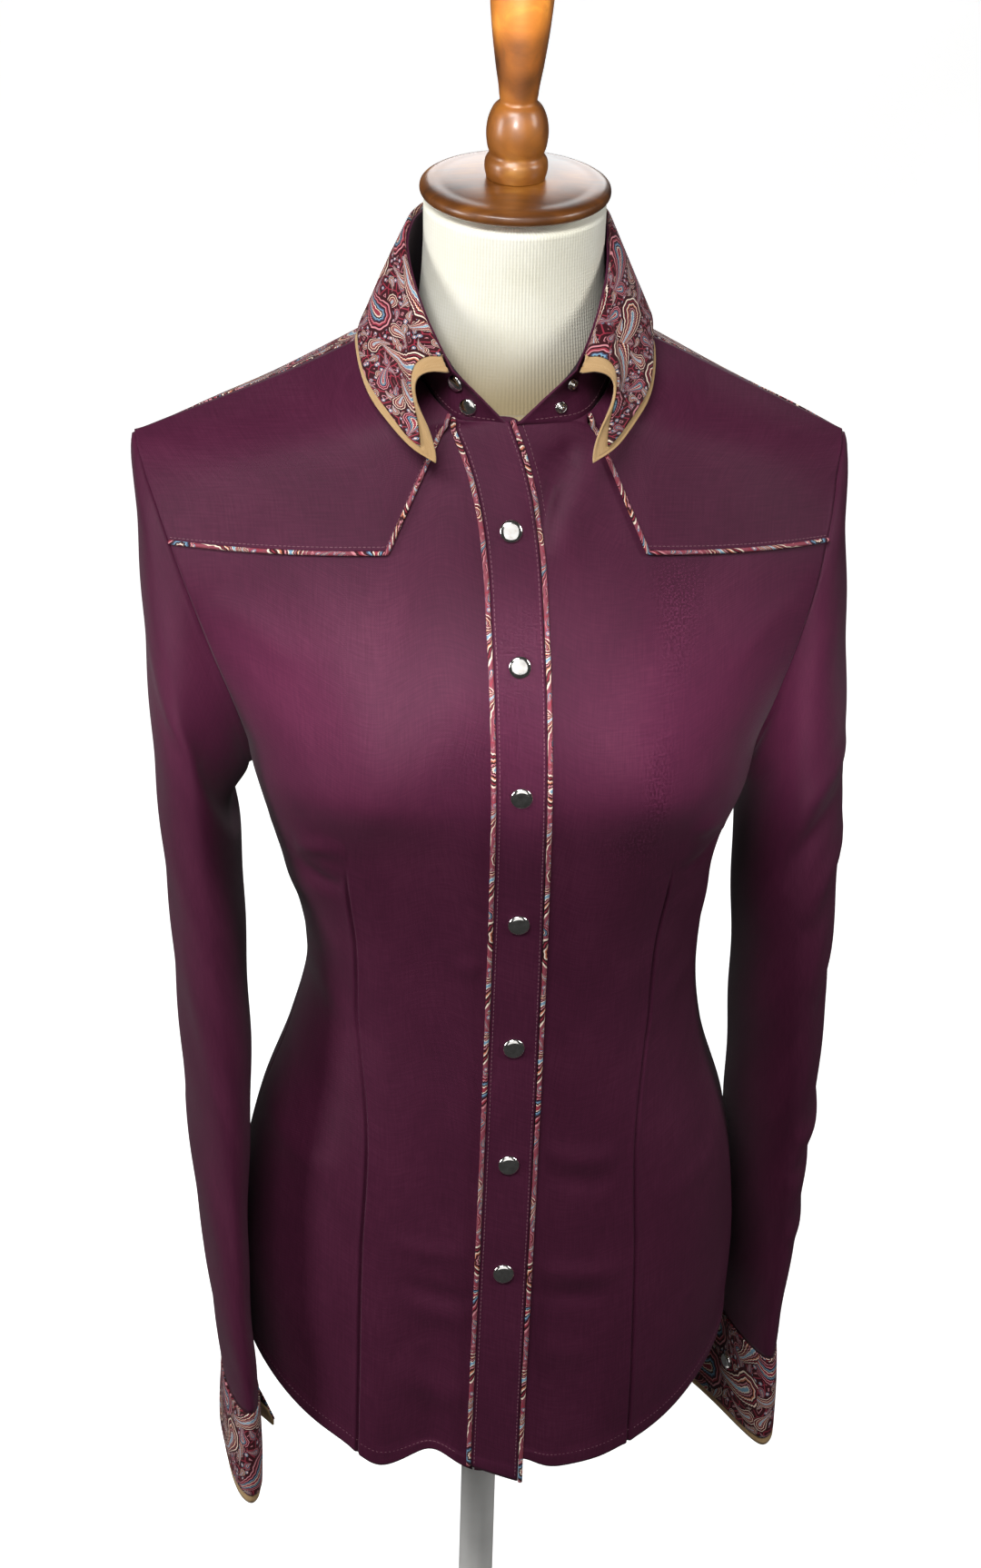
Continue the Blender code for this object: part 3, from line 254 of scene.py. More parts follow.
def paisley(name, ground=GROUND):
    """Small flowers and vines, then middle-sized and large paisleys over them, on wine ground."""
    made, tree, shader = blank_material(name, Roughness=0.62, Sheen_Weight=0.03,
                                        Specular_IOR_Level=0.22)
    cloth_metres = node(tree, "TexCoord").outputs["UV"]
    sway = node(tree, "VectorMath", {0: noise(tree, cloth_metres, 90.0, 0.0).outputs["Color"],
                                     1: (0.5, 0.5, 0.5)}, operation="SUBTRACT")
    drawn = node(tree, "VectorMath", {0: sway, 1: (0.0022,) * 3, 2: cloth_metres},
                 operation="MULTIPLY_ADD")
    vines = node(tree, "TexVoronoi", {"Vector": drawn, "Scale": 1 / VINE_CELL},
                 voronoi_dimensions="2D", feature="DISTANCE_TO_EDGE")
    colour = ramp(tree, vines, ((0.0, ROSE), (0.05, ground), (0.34, PINK), (0.40, ground)),
                  "CONSTANT")
    petals = node(tree, "TexVoronoi", {"Vector": drawn, "Scale": 1 / FLOWER_CELL,
                                       "Randomness": 0.8}, voronoi_dimensions="2D")
    flower = ramp(tree, petals.outputs["Distance"],
                  ((0.0, CREAM), (0.13, ROSE), (0.20, SKY), (0.30, ground)), "CONSTANT")
    pick = node(tree, "SeparateXYZ", {0: petals.outputs["Color"]})
    chosen = calc(tree, "GREATER_THAN", pick.outputs[0], 0.60)
    near = calc(tree, "LESS_THAN", petals.outputs["Distance"], FLOWER_RADIUS)
    shown = calc(tree, "MULTIPLY", chosen, near)
    colour = node(tree, "MixRGB", {"Fac": shown, "Color1": colour, "Color2": flower})
    for motif in MOTIFS:
        drops, inside, halo = teardrops(tree, drawn, *motif)
        for mask, over in ((halo, linear(ground)), (inside, drops)):
            colour = node(tree, "MixRGB", {"Fac": mask, "Color1": colour, "Color2": over})
    fade = node(tree, "MapRange", {"Value": noise(tree, cloth_metres, 40.0, 2.0),
                                   "To Min": 0.85, "To Max": 1.1})
    colour = node(tree, "VectorMath", {0: colour, "Scale": fade}, operation="SCALE")
    crossed, slub = weave_height(tree, cloth_metres)
    dress(tree, shader, colour, calc(tree, "MULTIPLY_ADD", crossed, 0.5, slub), 0.2, WEAVE_DEPTH)
    return made


PAISLEY = paisley("paisley_printed_cotton")
PIPING = paisley("paisley_bias_piping", "#8a4250")

# %% [markdown]
# ## Thread, nickel, knitted jersey, stained wood and painted steel
# Nickel is a mirror: metallic 1, low roughness, and a faint unevenness from stamping the thin cap.
# The form's cover is a knit, whose ribs run up the neck 1.8 mm apart; it reads the angle round the
# neck from Object coordinates. The wood is turned, stained brown and waxed: grain is noise that is
# stretched along the board. The stand is sprayed white, with the spray's fine orange peel.

# %% Other finishes
def spun_thread(name, base, light):
    """Spun thread: fine noise for the lights and darks of its twist."""
    made, tree, shader = blank_material(name, Roughness=0.55, Sheen_Weight=0.2)
    place = node(tree, "TexCoord").outputs["Object"]
    lay = noise(tree, place, 2500.0, 1.0)
    dress(tree, shader, ramp(tree, lay, ((0.3, base), (0.7, light))))
    return made


def stamped_nickel(name):
    """Polished nickel: a mirror with a slow, shallow unevenness in its height."""
    made, tree, shader = blank_material(name, Metallic=1.0, Roughness=0.13)
    place = node(tree, "TexCoord").outputs["Object"]
    tone = noise(tree, place, 300.0, 2.0)
    dent = noise(tree, place, 170.0, 0.0)
    dress(tree, shader, ramp(tree, tone, ((0.3, "#c9c6c2"), (0.7, "#e6e4e0"))), dent, 0.12, 0.0004)
    return made


NECK_RADIUS, RIB_PITCH = 0.0497, 0.0018
# Painted shade: the collar's shadow on the neck cover, painted as a browner colour towards its
# bottom.
PAINTED_SHADE_FROM_Z, PAINTED_SHADE_TO_Z = 1.010, 1.062       # the neck cover darkens downwards between these


def knitted_jersey(name):
    """Rib knit: sin(ribs x angle round the neck) + 0.25 sin(2 pi z / pitch), plus fuzz."""
    made, tree, shader = blank_material(name, Roughness=0.92, Sheen_Weight=0.25,
                                        Specular_IOR_Level=0.2)
    place = node(tree, "TexCoord").outputs["Object"]
    x, y, z = node(tree, "SeparateXYZ", {0: place}).outputs
    angle = calc(tree, "ARCTAN2", x, y)
    rib_count = round(2 * math.pi * NECK_RADIUS / RIB_PITCH)
    ribs = calc(tree, "SINE", calc(tree, "MULTIPLY", angle, rib_count))
    rows = calc(tree, "SINE", calc(tree, "MULTIPLY", z, 2 * math.pi / RIB_PITCH))
    fuzz = noise(tree, place, 900.0, 2.0)
    height = calc(tree, "MULTIPLY_ADD", fuzz, 1.2, calc(tree, "MULTIPLY_ADD", rows, 0.25, ribs))
    soil = noise(tree, place, 22.0, 3.0)
    level = calc(tree, "MULTIPLY_ADD", height, 0.10, soil)
    colour = ramp(tree, level, ((0.2, "#dedac4"), (0.5, "#efecdb"), (0.8, "#f6f4e8")))
    # Painted shade: towards the bottom of the neck the cover is mixed into a darker tan, for the
    # collar's shadow.
    low = node(tree, "MapRange", {"Value": z, "From Min": PAINTED_SHADE_FROM_Z, "From Max": PAINTED_SHADE_TO_Z},
               interpolation_type="SMOOTHSTEP")
    colour = node(tree, "MixRGB", {"Fac": low, "Color1": linear("#b3a27f"), "Color2": colour})
    dress(tree, shader, colour, height, 0.35, 0.0003)
    return made


def stained_wood(name):
    """Turned wood: noise stretched along one axis is its grain, and slow noise its stain."""
    made, tree, shader = blank_material(name, Coat_Weight=0.5, Coat_Roughness=0.22)
    place = node(tree, "TexCoord").outputs["Object"]
    board = node(tree, "Mapping", {"Vector": place, "Scale": (22.0, 130.0, 60.0)})
    grain = noise(tree, board, 1.0, 6.0, Roughness=0.6, Distortion=0.4)
    cloud = noise(tree, place, 26.0, 2.0)
    level = calc(tree, "MULTIPLY_ADD", cloud, 1.6, grain)
    shade = node(tree, "MapRange", {"Value": level, "From Min": 0.85, "From Max": 1.80})
    gloss = node(tree, "MapRange", {"Value": grain, "To Min": 0.38, "To Max": 0.55})
    tree.links.new(gloss.outputs[0], shader.inputs["Roughness"])
    dress(tree, shader, ramp(tree, shade, ((0.0, "#3d1f06"), (0.35, "#66380c"),
                                           (0.7, "#875016"), (1.0, "#a8712a"))),
          grain, 0.12, 0.0005)
    return made


def sprayed_steel(name):
    """Sprayed steel: fine noise for the peel of the paint, and slow noise for dust."""
    made, tree, shader = blank_material(name, Roughness=0.42)
    place = node(tree, "TexCoord").outputs["Object"]
    peel = noise(tree, place, 700.0, 1.0)
    dust = noise(tree, place, 30.0, 4.0)
    dress(tree, shader, ramp(tree, dust, ((0.3, "#e3e2df"), (0.7, "#f0efec"))), peel, 0.12, 0.0002)
    return made


PLUM_THREAD = spun_thread("plum_rose_thread", "#5e2f42", "#87505f")
NICKEL = stamped_nickel("stamped_nickel")
JERSEY = knitted_jersey("cream_knitted_jersey")
WOOD = stained_wood("turned_stained_wood")
WHITE_STEEL = sprayed_steel("white_sprayed_steel")
print("finishes", [made.name for made in bpy.data.materials])

# %% [markdown]
# ## The body's shape
# A tailor measures a form at a few heights. The tables hold those sections, from hem to shoulder:
# where the section starts (centre front or back), where it ends (side seam or armhole), how far it
# has turned by then, how square it is, how its height falls and how far it leans. Between rows a
# cubic curve carries each column on, so the body is smooth and each panel is one sheet.

# %% Section tables and the curve through them
CLOTH = 0.0012                  # thickness of the cloth, in metres
# Rows: x, y, z at the start and at the end; degrees turned; squareness; fall of height; lean.
FRONT_SECTIONS = (
    (0.000, -0.1180, 0.354, 0.1520, 0.004, 0.404, 90, 2.1, 3.0, 0.000),
    (0.000, -0.1135, 0.470, 0.1525, 0.004, 0.485, 90, 2.2, 2.0, 0.000),
    (0.000, -0.1105, 0.545, 0.1415, 0.004, 0.550, 90, 2.2, 2.0, 0.002),
    (0.000, -0.1085, 0.600, 0.1245, 0.003, 0.602, 90, 2.2, 2.0, 0.003),
    (0.000, -0.1070, 0.650, 0.1165, 0.002, 0.650, 90, 2.2, 2.0, 0.005),
    (0.000, -0.1085, 0.700, 0.1205, 0.000, 0.698, 90, 2.3, 2.0, 0.0025),
    (0.000, -0.1130, 0.755, 0.1305, -0.002, 0.742, 90, 2.5, 2.0, -0.001),
    (0.000, -0.1180, 0.812, 0.1425, -0.006, 0.782, 86, 2.7, 2.0, 0.000),
    (0.000, -0.1165, 0.860, 0.1495, -0.044, 0.824, 66, 2.5, 1.8, -0.001),
    (0.000, -0.1085, 0.900, 0.1640, -0.057, 0.872, 58, 2.3, 1.6, -0.003),
    (0.000, -0.0955, 0.942, 0.1760, -0.054, 0.910, 50, 2.1, 1.4, -0.005),
    (0.000, -0.0810, 0.980, 0.1840, -0.042, 0.936, 45, 2.0, 1.4, -0.007),
    (0.000, -0.0700, 1.009, 0.1885, -0.031, 0.9495, 42, 2.0, 1.3, -0.008),
    (0.034, -0.0655, 1.0105, 0.1920, -0.020, 0.9590, 38, 2.0, 1.15, -0.009),
    (0.052, -0.0430, 1.024, 0.1960, -0.007, 0.9695, 30, 2.0, 1.05, -0.009),
    (0.064, 0.0040, 1.040, 0.1990, 0.009, 0.9760, 20, 2.0, 1.0, -0.009),
)
BACK_SECTIONS = (
    (0.000, 0.1080, 0.366, 0.1520, 0.004, 0.404, 90, 2.1, 2.0, 0.000),
    (0.000, 0.1120, 0.470, 0.1525, 0.004, 0.485, 90, 2.2, 2.0, 0.000),
    (0.000, 0.1010, 0.545, 0.1415, 0.004, 0.550, 90, 2.2, 2.0, 0.002),
    (0.000, 0.0870, 0.600, 0.1245, 0.003, 0.602, 90, 2.2, 2.0, 0.003),
    (0.000, 0.0790, 0.650, 0.1165, 0.002, 0.650, 90, 2.2, 2.0, 0.005),
    (0.000, 0.0800, 0.700, 0.1205, 0.000, 0.698, 90, 2.2, 2.0, 0.0025),
    (0.000, 0.0870, 0.755, 0.1305, -0.002, 0.742, 90, 2.3, 2.0, -0.001),
    (0.000, 0.0945, 0.812, 0.1425, -0.006, 0.782, 86, 2.3, 2.0, 0.000),
    (0.000, 0.0985, 0.860, 0.1490, 0.030, 0.818, 66, 2.2, 1.8, -0.001),
    (0.000, 0.0990, 0.905, 0.1625, 0.049, 0.862, 58, 2.1, 1.6, -0.003),
    (0.000, 0.0950, 0.950, 0.1740, 0.054, 0.904, 50, 2.0, 1.4, -0.005),
    (0.000, 0.0870, 0.992, 0.1830, 0.048, 0.935, 45, 2.0, 1.1, -0.007),
    (0.000, 0.0600, 1.048, 0.1890, 0.039, 0.9510, 40, 2.0, 0.85, -0.008),
    (0.022, 0.0560, 1.048, 0.1925, 0.031, 0.9600, 36, 2.0, 0.85, -0.009),
    (0.050, 0.0370, 1.045, 0.1965, 0.021, 0.9690, 30, 2.0, 0.90, -0.009),
    (0.064, 0.0040, 1.040, 0.1990, 0.009, 0.9760, 20, 2.0, 1.0, -0.009),
)
ARMHOLE_FOOT, NECK_ROW = 7, 12  # rows where the armhole starts and where the neckline does


def running_length(points):
    """Distance along a line of points, from 0 at the first one."""
    return np.concatenate(([0.0], np.cumsum(np.linalg.norm(np.diff(points, axis=0), axis=1))))


def unit_vectors(vectors):
    """Vectors divided by their own lengths."""
    return vectors / np.linalg.norm(vectors, axis=-1, keepdims=True)
def through(knots, values, where, steady=None):
    """Smooth curve through rows: cubic pieces whose slopes are the rows' mean slopes."""
    knots, values = np.asarray(knots, float), np.asarray(values, float)
    where = np.clip(np.asarray(where, float), knots[0], knots[-1])
    slopes = np.gradient(values, knots, axis=0)
    if steady is not None:
        slopes[steady] = (values[steady] - values[steady - 1]) / (knots[steady] - knots[steady - 1])
    i = np.clip(np.searchsorted(knots, where, "right") - 1, 0, len(knots) - 2)
    step = knots[i + 1] - knots[i]
    u = (where - knots[i]) / step
    if values.ndim > 1:
        step, u = step[..., None], u[..., None]
    return ((2 * u**3 - 3 * u**2 + 1) * values[i] + (u**3 - 2 * u**2 + u) * step * slopes[i]
            + (3 * u**2 - 2 * u**3) * values[i + 1] + (u**3 - u**2) * step * slopes[i + 1])


def row_shares(table):
    """Each row's share of the panel's height, by the mean length of its two edges."""
    rows = np.asarray(table, float)
    lengths = [np.linalg.norm(np.diff(rows[:, at:at + 3], axis=0), axis=1) for at in (0, 3)]
    along = np.concatenate(([0.0], np.cumsum((lengths[0] + lengths[1]) / 2)))
    return along / along[-1]


ROW_SHARES = row_shares(FRONT_SECTIONS)


def body_point(table, s, t):
    """A superellipse section from in to out that has turned by `turn` degrees at its end."""
    s, t = np.broadcast_arrays(np.asarray(s, float), np.asarray(t, float))
    in_x, in_y, in_z, _, _, _, turn, square, fall, lean = np.moveaxis(
        through(ROW_SHARES, table, t), -1, 0)
    in_x = np.where(t <= ROW_SHARES[NECK_ROW], 0.0, np.maximum(in_x, 0.0))
    outer = through(ROW_SHARES, [columns[3:6] for columns in table], t, steady=ARMHOLE_FOOT)
    out_x, out_y, out_z = np.moveaxis(outer, -1, 0)
    turn = np.radians(np.minimum(turn, 90))

    def on_section(angle):
        """The superellipse at an angle: reach = (|sin|^n + |cos|^n)^(-1/n)."""
        sine, cosine = np.abs(np.sin(angle)), np.abs(np.cos(angle))
        reach = (sine**square + cosine**square)**(-1 / square)
        return reach * sine, reach * cosine

    across, forward = on_section(np.abs(s) * turn)
    across_end, forward_end = on_section(turn)
    share = across / across_end
    x = in_x + (out_x - in_x) * share
    y = in_y + (out_y - in_y) * (1 - forward) / (1 - forward_end)
    z = in_z + (out_z - in_z) * share**fall
    return np.stack([np.where(s < 0, -x, x) + lean * share**2, y, z], axis=-1)


# The bust: its place, how far it stands out, its half width, and its reach up and down.
BUST_X, BUST_Z, BUST_HEIGHT = 0.090, 0.806, 0.0110
BUST_HALF_WIDTH, BUST_RISE, BUST_FALL = 0.055, 0.065, 0.027
STEP, HALVINGS = 1e-3, 34       # small step for normals, and how often a root is halved


def front_point(s, t):
    """The front's section, moved out over the bust by a bell that falls faster than it rises."""
    place = body_point(FRONT_SECTIONS, s, t)
    over = place[..., 2] - BUST_Z
    beside = (np.abs(place[..., 0]) - BUST_X) / BUST_HALF_WIDTH
    reach = np.where(over > 0, BUST_RISE, BUST_FALL)
    place[..., 1] -= BUST_HEIGHT * np.exp(-beside**2 - (over / reach)**2)
    return place


def back_point(s, t):
    """The back's section, which needs nothing moved."""
    return body_point(BACK_SECTIONS, s, t)


def outward(surface, s, t, facing):
    """Unit normals of a surface: the cross product of small steps along s and t."""
    side = np.where(s < 0, -1.0, 1.0)
    outer, inner = side * np.minimum(np.abs(s) + STEP, 1), side * np.maximum(np.abs(s) - STEP, 0)
    along_s = (surface(outer, t) - surface(inner, t)) * side[..., None]
    along_t = surface(s, np.minimum(t + STEP, 1)) - surface(s, np.maximum(t - STEP, 0))
    return unit_vectors(np.cross(along_s, along_t) * facing)


def solve(function, low, high):
    """Root of a rising function between two arrays, by halving."""
    low, high = np.array(low, float), np.array(high, float)
    for _ in range(HALVINGS):
        middle = (low + high) / 2
        under = function(middle) < 0
        low, high = np.where(under, middle, low), np.where(under, high, middle)
    return (low + high) / 2


def front_across(x, t):
    """s of the front point whose x is given."""
    x, t = np.broadcast_arrays(np.asarray(x, float), np.asarray(t, float))
    side = np.where(x < 0, -1.0, 1.0)
    return side * solve(lambda reach: side * (front_point(side * reach, t)[..., 0] - x),
                        np.zeros_like(t), np.ones_like(t))


# %% [markdown]
# ## Folds
# A fold in cloth is a soft ridge or furrow with a long middle and ends that die away. Each row of
# a table is one fold: its two ends, how far it bows sideways, its half width and its height (a
# minus sign makes a furrow). Its cross-section is a bell curve. Simulation would give folds of its
# own choosing; a table puts them where tension in this shirt puts them: at the darts, across the
# stomach, below the armholes and beside the collar. A few long waves keep the rest from looking
# like plaster.

# %% Folds and waves
def folds(x, z, table):
    """Sum over folds of height x bell(distance from the bowed line) x window(share along it)."""
    total = np.zeros(np.broadcast(x, z).shape)
    for x0, z0, x1, z1, bow, width, height in table:
        dx, dz = x1 - x0, z1 - z0
        length = math.hypot(dx, dz)
        share = ((x - x0) * dx + (z - z0) * dz) / length**2
        inside = np.clip(share, 0, 1)
        window = np.sin(math.pi * inside)
        gap = ((x - x0) * dz - (z - z0) * dx) / length - bow * window
        total += height * window**0.8 * np.exp(-(gap / width)**2)
    return total


def waves(x, z, height):
    """Long uneven waves: three sines that cross at odd angles."""
    return height * (np.sin(61 * x + 37 * z + 0.4) * 0.5 + np.sin(-43 * x + 71 * z + 2.1) * 0.3
                     + np.sin(97 * x + 23 * z + 4.0) * 0.2)


# Rows of the fold tables: x and z of both ends, bow, half width, height, all in metres.
FRONT_FOLDS = (
    (0.020, 0.577, 0.070, 0.563, 0.003, 0.0065, 0.0016),
    (0.022, 0.560, 0.068, 0.547, 0.002, 0.0060, -0.0013),
    (0.017, 0.498, 0.076, 0.486, 0.002, 0.0060, 0.0017),
    (0.017, 0.482, 0.066, 0.472, 0.002, 0.0050, -0.0014),
    (0.020, 0.440, 0.060, 0.432, 0.000, 0.0090, 0.0010),
    (-0.066, 0.512, -0.016, 0.505, 0.002, 0.0050, 0.0013),
    (-0.060, 0.486, -0.014, 0.474, 0.002, 0.0050, -0.0014),
    (-0.056, 0.468, -0.016, 0.462, 0.001, 0.0070, 0.0012),
    (-0.062, 0.430, -0.018, 0.402, 0.004, 0.0100, 0.0016),
    (-0.030, 0.700, -0.016, 0.692, 0.000, 0.0050, 0.0013),
    (0.030, 1.000, 0.010, 0.945, 0.003, 0.0055, -0.0046),
    (0.042, 0.990, 0.020, 0.930, 0.002, 0.0090, 0.0022),
    (-0.120, 0.757, -0.092, 0.762, -0.004, 0.0055, 0.0024),
    (-0.122, 0.747, -0.094, 0.738, 0.003, 0.0050, -0.0020),
    (-0.118, 0.778, -0.096, 0.742, 0.004, 0.0080, 0.0018),
    (-0.100, 0.735, -0.128, 0.700, 0.004, 0.0100, 0.0015),
    (0.124, 0.768, 0.100, 0.775, 0.004, 0.0060, 0.0022),
    (0.126, 0.756, 0.098, 0.744, -0.003, 0.0050, -0.0018),
    (0.112, 0.790, 0.096, 0.748, -0.004, 0.0080, 0.0016),
    (0.100, 0.730, 0.124, 0.690, -0.003, 0.0100, 0.0014),
    (-0.110, 0.675, -0.086, 0.640, 0.003, 0.0090, 0.0012),
    (0.112, 0.672, 0.084, 0.636, 0.003, 0.0090, 0.0012),
    (0.030, 0.800, 0.028, 0.660, 0.003, 0.0120, -0.0012),
    (-0.140, 0.560, -0.094, 0.545, 0.003, 0.0090, 0.0011),
    (0.142, 0.545, 0.092, 0.528, -0.003, 0.0090, 0.0011),
    (-0.044, 0.470, -0.036, 0.280, 0.000, 0.0110, -0.0032),
    (-0.070, 0.480, -0.072, 0.290, 0.002, 0.0130, 0.0028),
    (0.070, 0.470, 0.060, 0.290, 0.002, 0.0140, 0.0016),
    (0.092, 1.018, 0.070, 0.990, -0.003, 0.0110, -0.0012),
    (-0.165, 0.905, -0.120, 0.872, -0.004, 0.0100, 0.0014),
    (0.162, 0.905, 0.118, 0.870, 0.004, 0.0100, 0.0014),
)
BACK_FOLDS = (
    (-0.020, 0.660, -0.090, 0.672, 0.004, 0.0080, 0.0018),
    (0.024, 0.668, 0.092, 0.660, 0.003, 0.0080, 0.0018),
    (-0.060, 0.640, 0.050, 0.632, 0.006, 0.0070, 0.0016),
    (-0.070, 0.622, 0.040, 0.612, 0.004, 0.0070, -0.0016),
    (-0.090, 0.600, -0.020, 0.580, 0.005, 0.0090, 0.0018),
    (0.020, 0.590, 0.100, 0.604, 0.005, 0.0090, 0.0018),
    (-0.120, 0.830, -0.060, 0.800, 0.006, 0.0120, 0.0018),
    (0.120, 0.830, 0.064, 0.796, -0.006, 0.0120, 0.0018),
    (-0.050, 0.900, -0.044, 0.720, 0.005, 0.0140, -0.0014),
    (0.048, 0.890, 0.052, 0.730, -0.005, 0.0140, -0.0014),
    (0.030, 0.520, 0.100, 0.470, 0.006, 0.0120, 0.0016),
    (-0.030, 0.510, -0.104, 0.462, -0.006, 0.0120, 0.0016),
)
# The waist darts: height, and distance from the middle. The bust darts: x and z of both ends.
DART_LINE = ((0.360, 0.0822), (0.500, 0.0815), (0.575, 0.0790), (0.640, 0.0840), (0.700, 0.0865),
             (0.740, 0.0915), (0.760, 0.0925))
DART_TIP, BACK_DART_TIP, BACK_DART_FOOT, DART_FADE = 0.752, 0.80, 0.47, 0.02
BUST_DARTS = ((-0.130, 0.7535, -0.114, 0.7495), (0.130, 0.7535, 0.115, 0.7515))
DART_DEPTH, BUST_DART_DEPTH, BACK_DART_DEPTH = 0.0020, 0.0010, 0.0008
FRONT_WAVES, BACK_WAVES = 0.0006, 0.0008
SIDE_FADE = 0.05                # folds die away over this share of s beside a seam
NECK_FADE_T, NECK_FADE_S = 0.03, 0.12       # and over these beside the neckline
HEM_BAND, HEM_STEP, HEM_FULLNESS = 0.0068, 0.0006, 0.0005
FRONT_CLIMB, BACK_CLIMB = 0.66, 0.70        # metres that t climbs from 0 to 1, at the hem's rate


def dart_x(z):
    """Distance of the waist dart from the middle, on a smooth curve through its table."""
    heights, distances = zip(*DART_LINE)
    return through(heights, distances, z)


def stitched_groove(gap, depth, width=0.0009):
    """A seam: a narrow furrow with the faint swell of the folded cloth on each side of it."""
    return -depth * np.exp(-(gap / width)**2) + depth * 0.35 * np.exp(-(gap / (width * 3.5))**2)


def front_relief(s, t):
    """Folds, waves, darts; they fade out towards the neckline, the side seam and the armhole."""
    place = front_point(s, t)
    x, z = place[..., 0], place[..., 2]
    rise = folds(x, z, FRONT_FOLDS) + waves(x, z, FRONT_WAVES)
    fade = np.clip((DART_TIP - z) / DART_FADE, 0, 1)
    rise = rise + stitched_groove(np.abs(x) - dart_x(z), DART_DEPTH) * fade
    for x0, z0, x1, z1 in BUST_DARTS:
        share = np.clip((x - x0) / (x1 - x0), 0, 1)
        gap = np.hypot(x - x0 - share * (x1 - x0), z - z0 - share * (z1 - z0))
        rise = rise + stitched_groove(gap, BUST_DART_DEPTH, 0.0011)
    collarward = (np.clip((t - ROW_SHARES[NECK_ROW]) / NECK_FADE_T + 1, 0, 1)
                  * np.clip(1 - np.abs(s) / NECK_FADE_S, 0, 1))
    return rise * np.clip((1 - np.abs(s)) / SIDE_FADE, 0, 1) * (1 - collarward)


def hem_lift(t, climb):
    """The hem is turned up twice, so a band at the edge stands a little thicker."""
    return HEM_FULLNESS * np.clip((HEM_BAND - t * climb) / HEM_STEP, 0, 1)


# Waves of the front hem: x, half width and height of a bell.
HEM_WAVES = ((-0.038, 0.018, 0.013), (-0.072, 0.014, -0.005), (0.014, 0.014, 0.010))
HEM_WAVE_SHARE = 0.085          # how far up the front the hem's unevenness reaches
PLACKET_SLANT, PLACKET_SLANT_X = -0.40, 0.0005


def hem_rise(x, t, laid):
    """How far the hem hangs above its cut line: bells along it, or a slant for the placket."""
    if laid:
        rise = PLACKET_SLANT * (x - PLACKET_SLANT_X)
    else:
        rise = sum(height * np.exp(-((x - x0) / width)**2) for x0, width, height in HEM_WAVES)
    return rise * np.clip(1 - t / HEM_WAVE_SHARE, 0, 1)**2


def front_cloth(s, t, lift=0.0, laid=False):
    """The front's surface with its folds; `laid` is the placket, whose end hangs on a slant."""
    s, t = np.broadcast_arrays(np.asarray(s, float), np.asarray(t, float))
    total = lift + front_relief(s, t) + hem_lift(t, FRONT_CLIMB)
    place = front_point(s, t) + outward(front_point, s, t, 1) * total[..., None]
    place[..., 2] += hem_rise(place[..., 0], t, laid)
    return place


def back_cloth(s, t, lift=0.0):
    """The back's surface with its folds, waves and two darts, which fade out at both ends."""
    s, t = np.broadcast_arrays(np.asarray(s, float), np.asarray(t, float))
    place = back_point(s, t)
    x, z = place[..., 0], place[..., 2]
    rise = (folds(x, z, BACK_FOLDS) + waves(x + 0.3, z, BACK_WAVES)
            + stitched_groove(np.abs(x) - dart_x(z), BACK_DART_DEPTH)
            * np.clip((BACK_DART_TIP - z) / DART_FADE, 0, 1)
            * np.clip((z - BACK_DART_FOOT) / DART_FADE, 0, 1))
    rise = rise * np.clip((1 - np.abs(s)) / SIDE_FADE, 0, 1)
    total = lift + rise + hem_lift(t, BACK_CLIMB)
    return place + outward(back_point, s, t, -1) * total[..., None]


# %% [markdown]
# ## From points to pieces
# A grid of points becomes a mesh of quads. Its UV map is measured on the grid itself, as lengths
# of cloth along the rows and up the columns, so a thread or a motif keeps its real size. Solidify
# then gives the cloth its thickness on the inner side, with a second material there.

# %% Mesh helpers
def cloth_lengths(points):
    """UV in metres: running length along each row, from its middle, and up each column."""
    along = np.linalg.norm(np.diff(points, axis=1), axis=2)
    across = np.concatenate([np.zeros((len(points), 1)), np.cumsum(along, axis=1)], axis=1)
    across -= across[:, across.shape[1] // 2][:, None]
    climb = np.linalg.norm(np.diff(points, axis=0), axis=2)
    climb = np.concatenate([np.zeros((1, points.shape[1])), np.cumsum(climb, axis=0)], axis=0)
    return np.stack([across, climb], axis=-1)


def mesh_object(name, vertices, faces, finish):
    """A smooth-shaded mesh object of lists of vertices and faces, in one material."""
    mesh = bpy.data.meshes.new(name)
    mesh.from_pydata(vertices, [], faces)
    mesh.materials.append(finish)
    mesh.shade_smooth()
    made = bpy.data.objects.new(name, mesh)
    bpy.context.scene.collection.objects.link(made)
    return made


def thicken(body, thickness, inner=None):
    """Gives a sheet its thickness on the inner side, and a material of its own there."""
    wall = body.modifiers.new("thickness", "SOLIDIFY")
    wall.thickness, wall.offset = thickness, -1
    if inner is not None:
        body.data.materials.append(inner)
        wall.material_offset, wall.material_offset_rim = 1, 0


def piece(name, points, finish, thickness=0.0, wrap=False, caps=False, inner=None, uv=None):
    """A mesh object of a grid of points; with wrap the last column is the first one again."""
    rows, columns = points.shape[:2]
    uv = cloth_lengths(points) if uv is None else uv
    kept = points[:, :-1] if wrap else points
    shared = np.arange(rows * (columns - wrap)).reshape(rows, columns - wrap)
    if wrap:
        shared = np.concatenate([shared, shared[:, :1]], axis=1)
    seats = np.arange(rows * columns).reshape(rows, columns)
    corners = [np.stack([grid[:-1, :-1], grid[:-1, 1:], grid[1:, 1:], grid[1:, :-1]],
                        axis=-1).reshape(-1, 4) for grid in (shared, seats)]
    faces = corners[0].tolist()
    map_of_loops = uv.reshape(-1, 2)[corners[1].ravel()]
    if caps:
        ends = [shared[0, :-1][::-1], shared[-1, :-1]]
        faces += [end.tolist() for end in ends]
        map_of_loops = np.concatenate([map_of_loops, np.zeros((2 * len(ends[0]), 2))])
    body = mesh_object(name, kept.reshape(-1, 3).tolist(), faces, finish)
    body.data.uv_layers.new(name="cloth_metres").data.foreach_set("uv", map_of_loops.ravel())
    if thickness:
        thicken(body, thickness, inner)
    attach(body, "root")
    return body


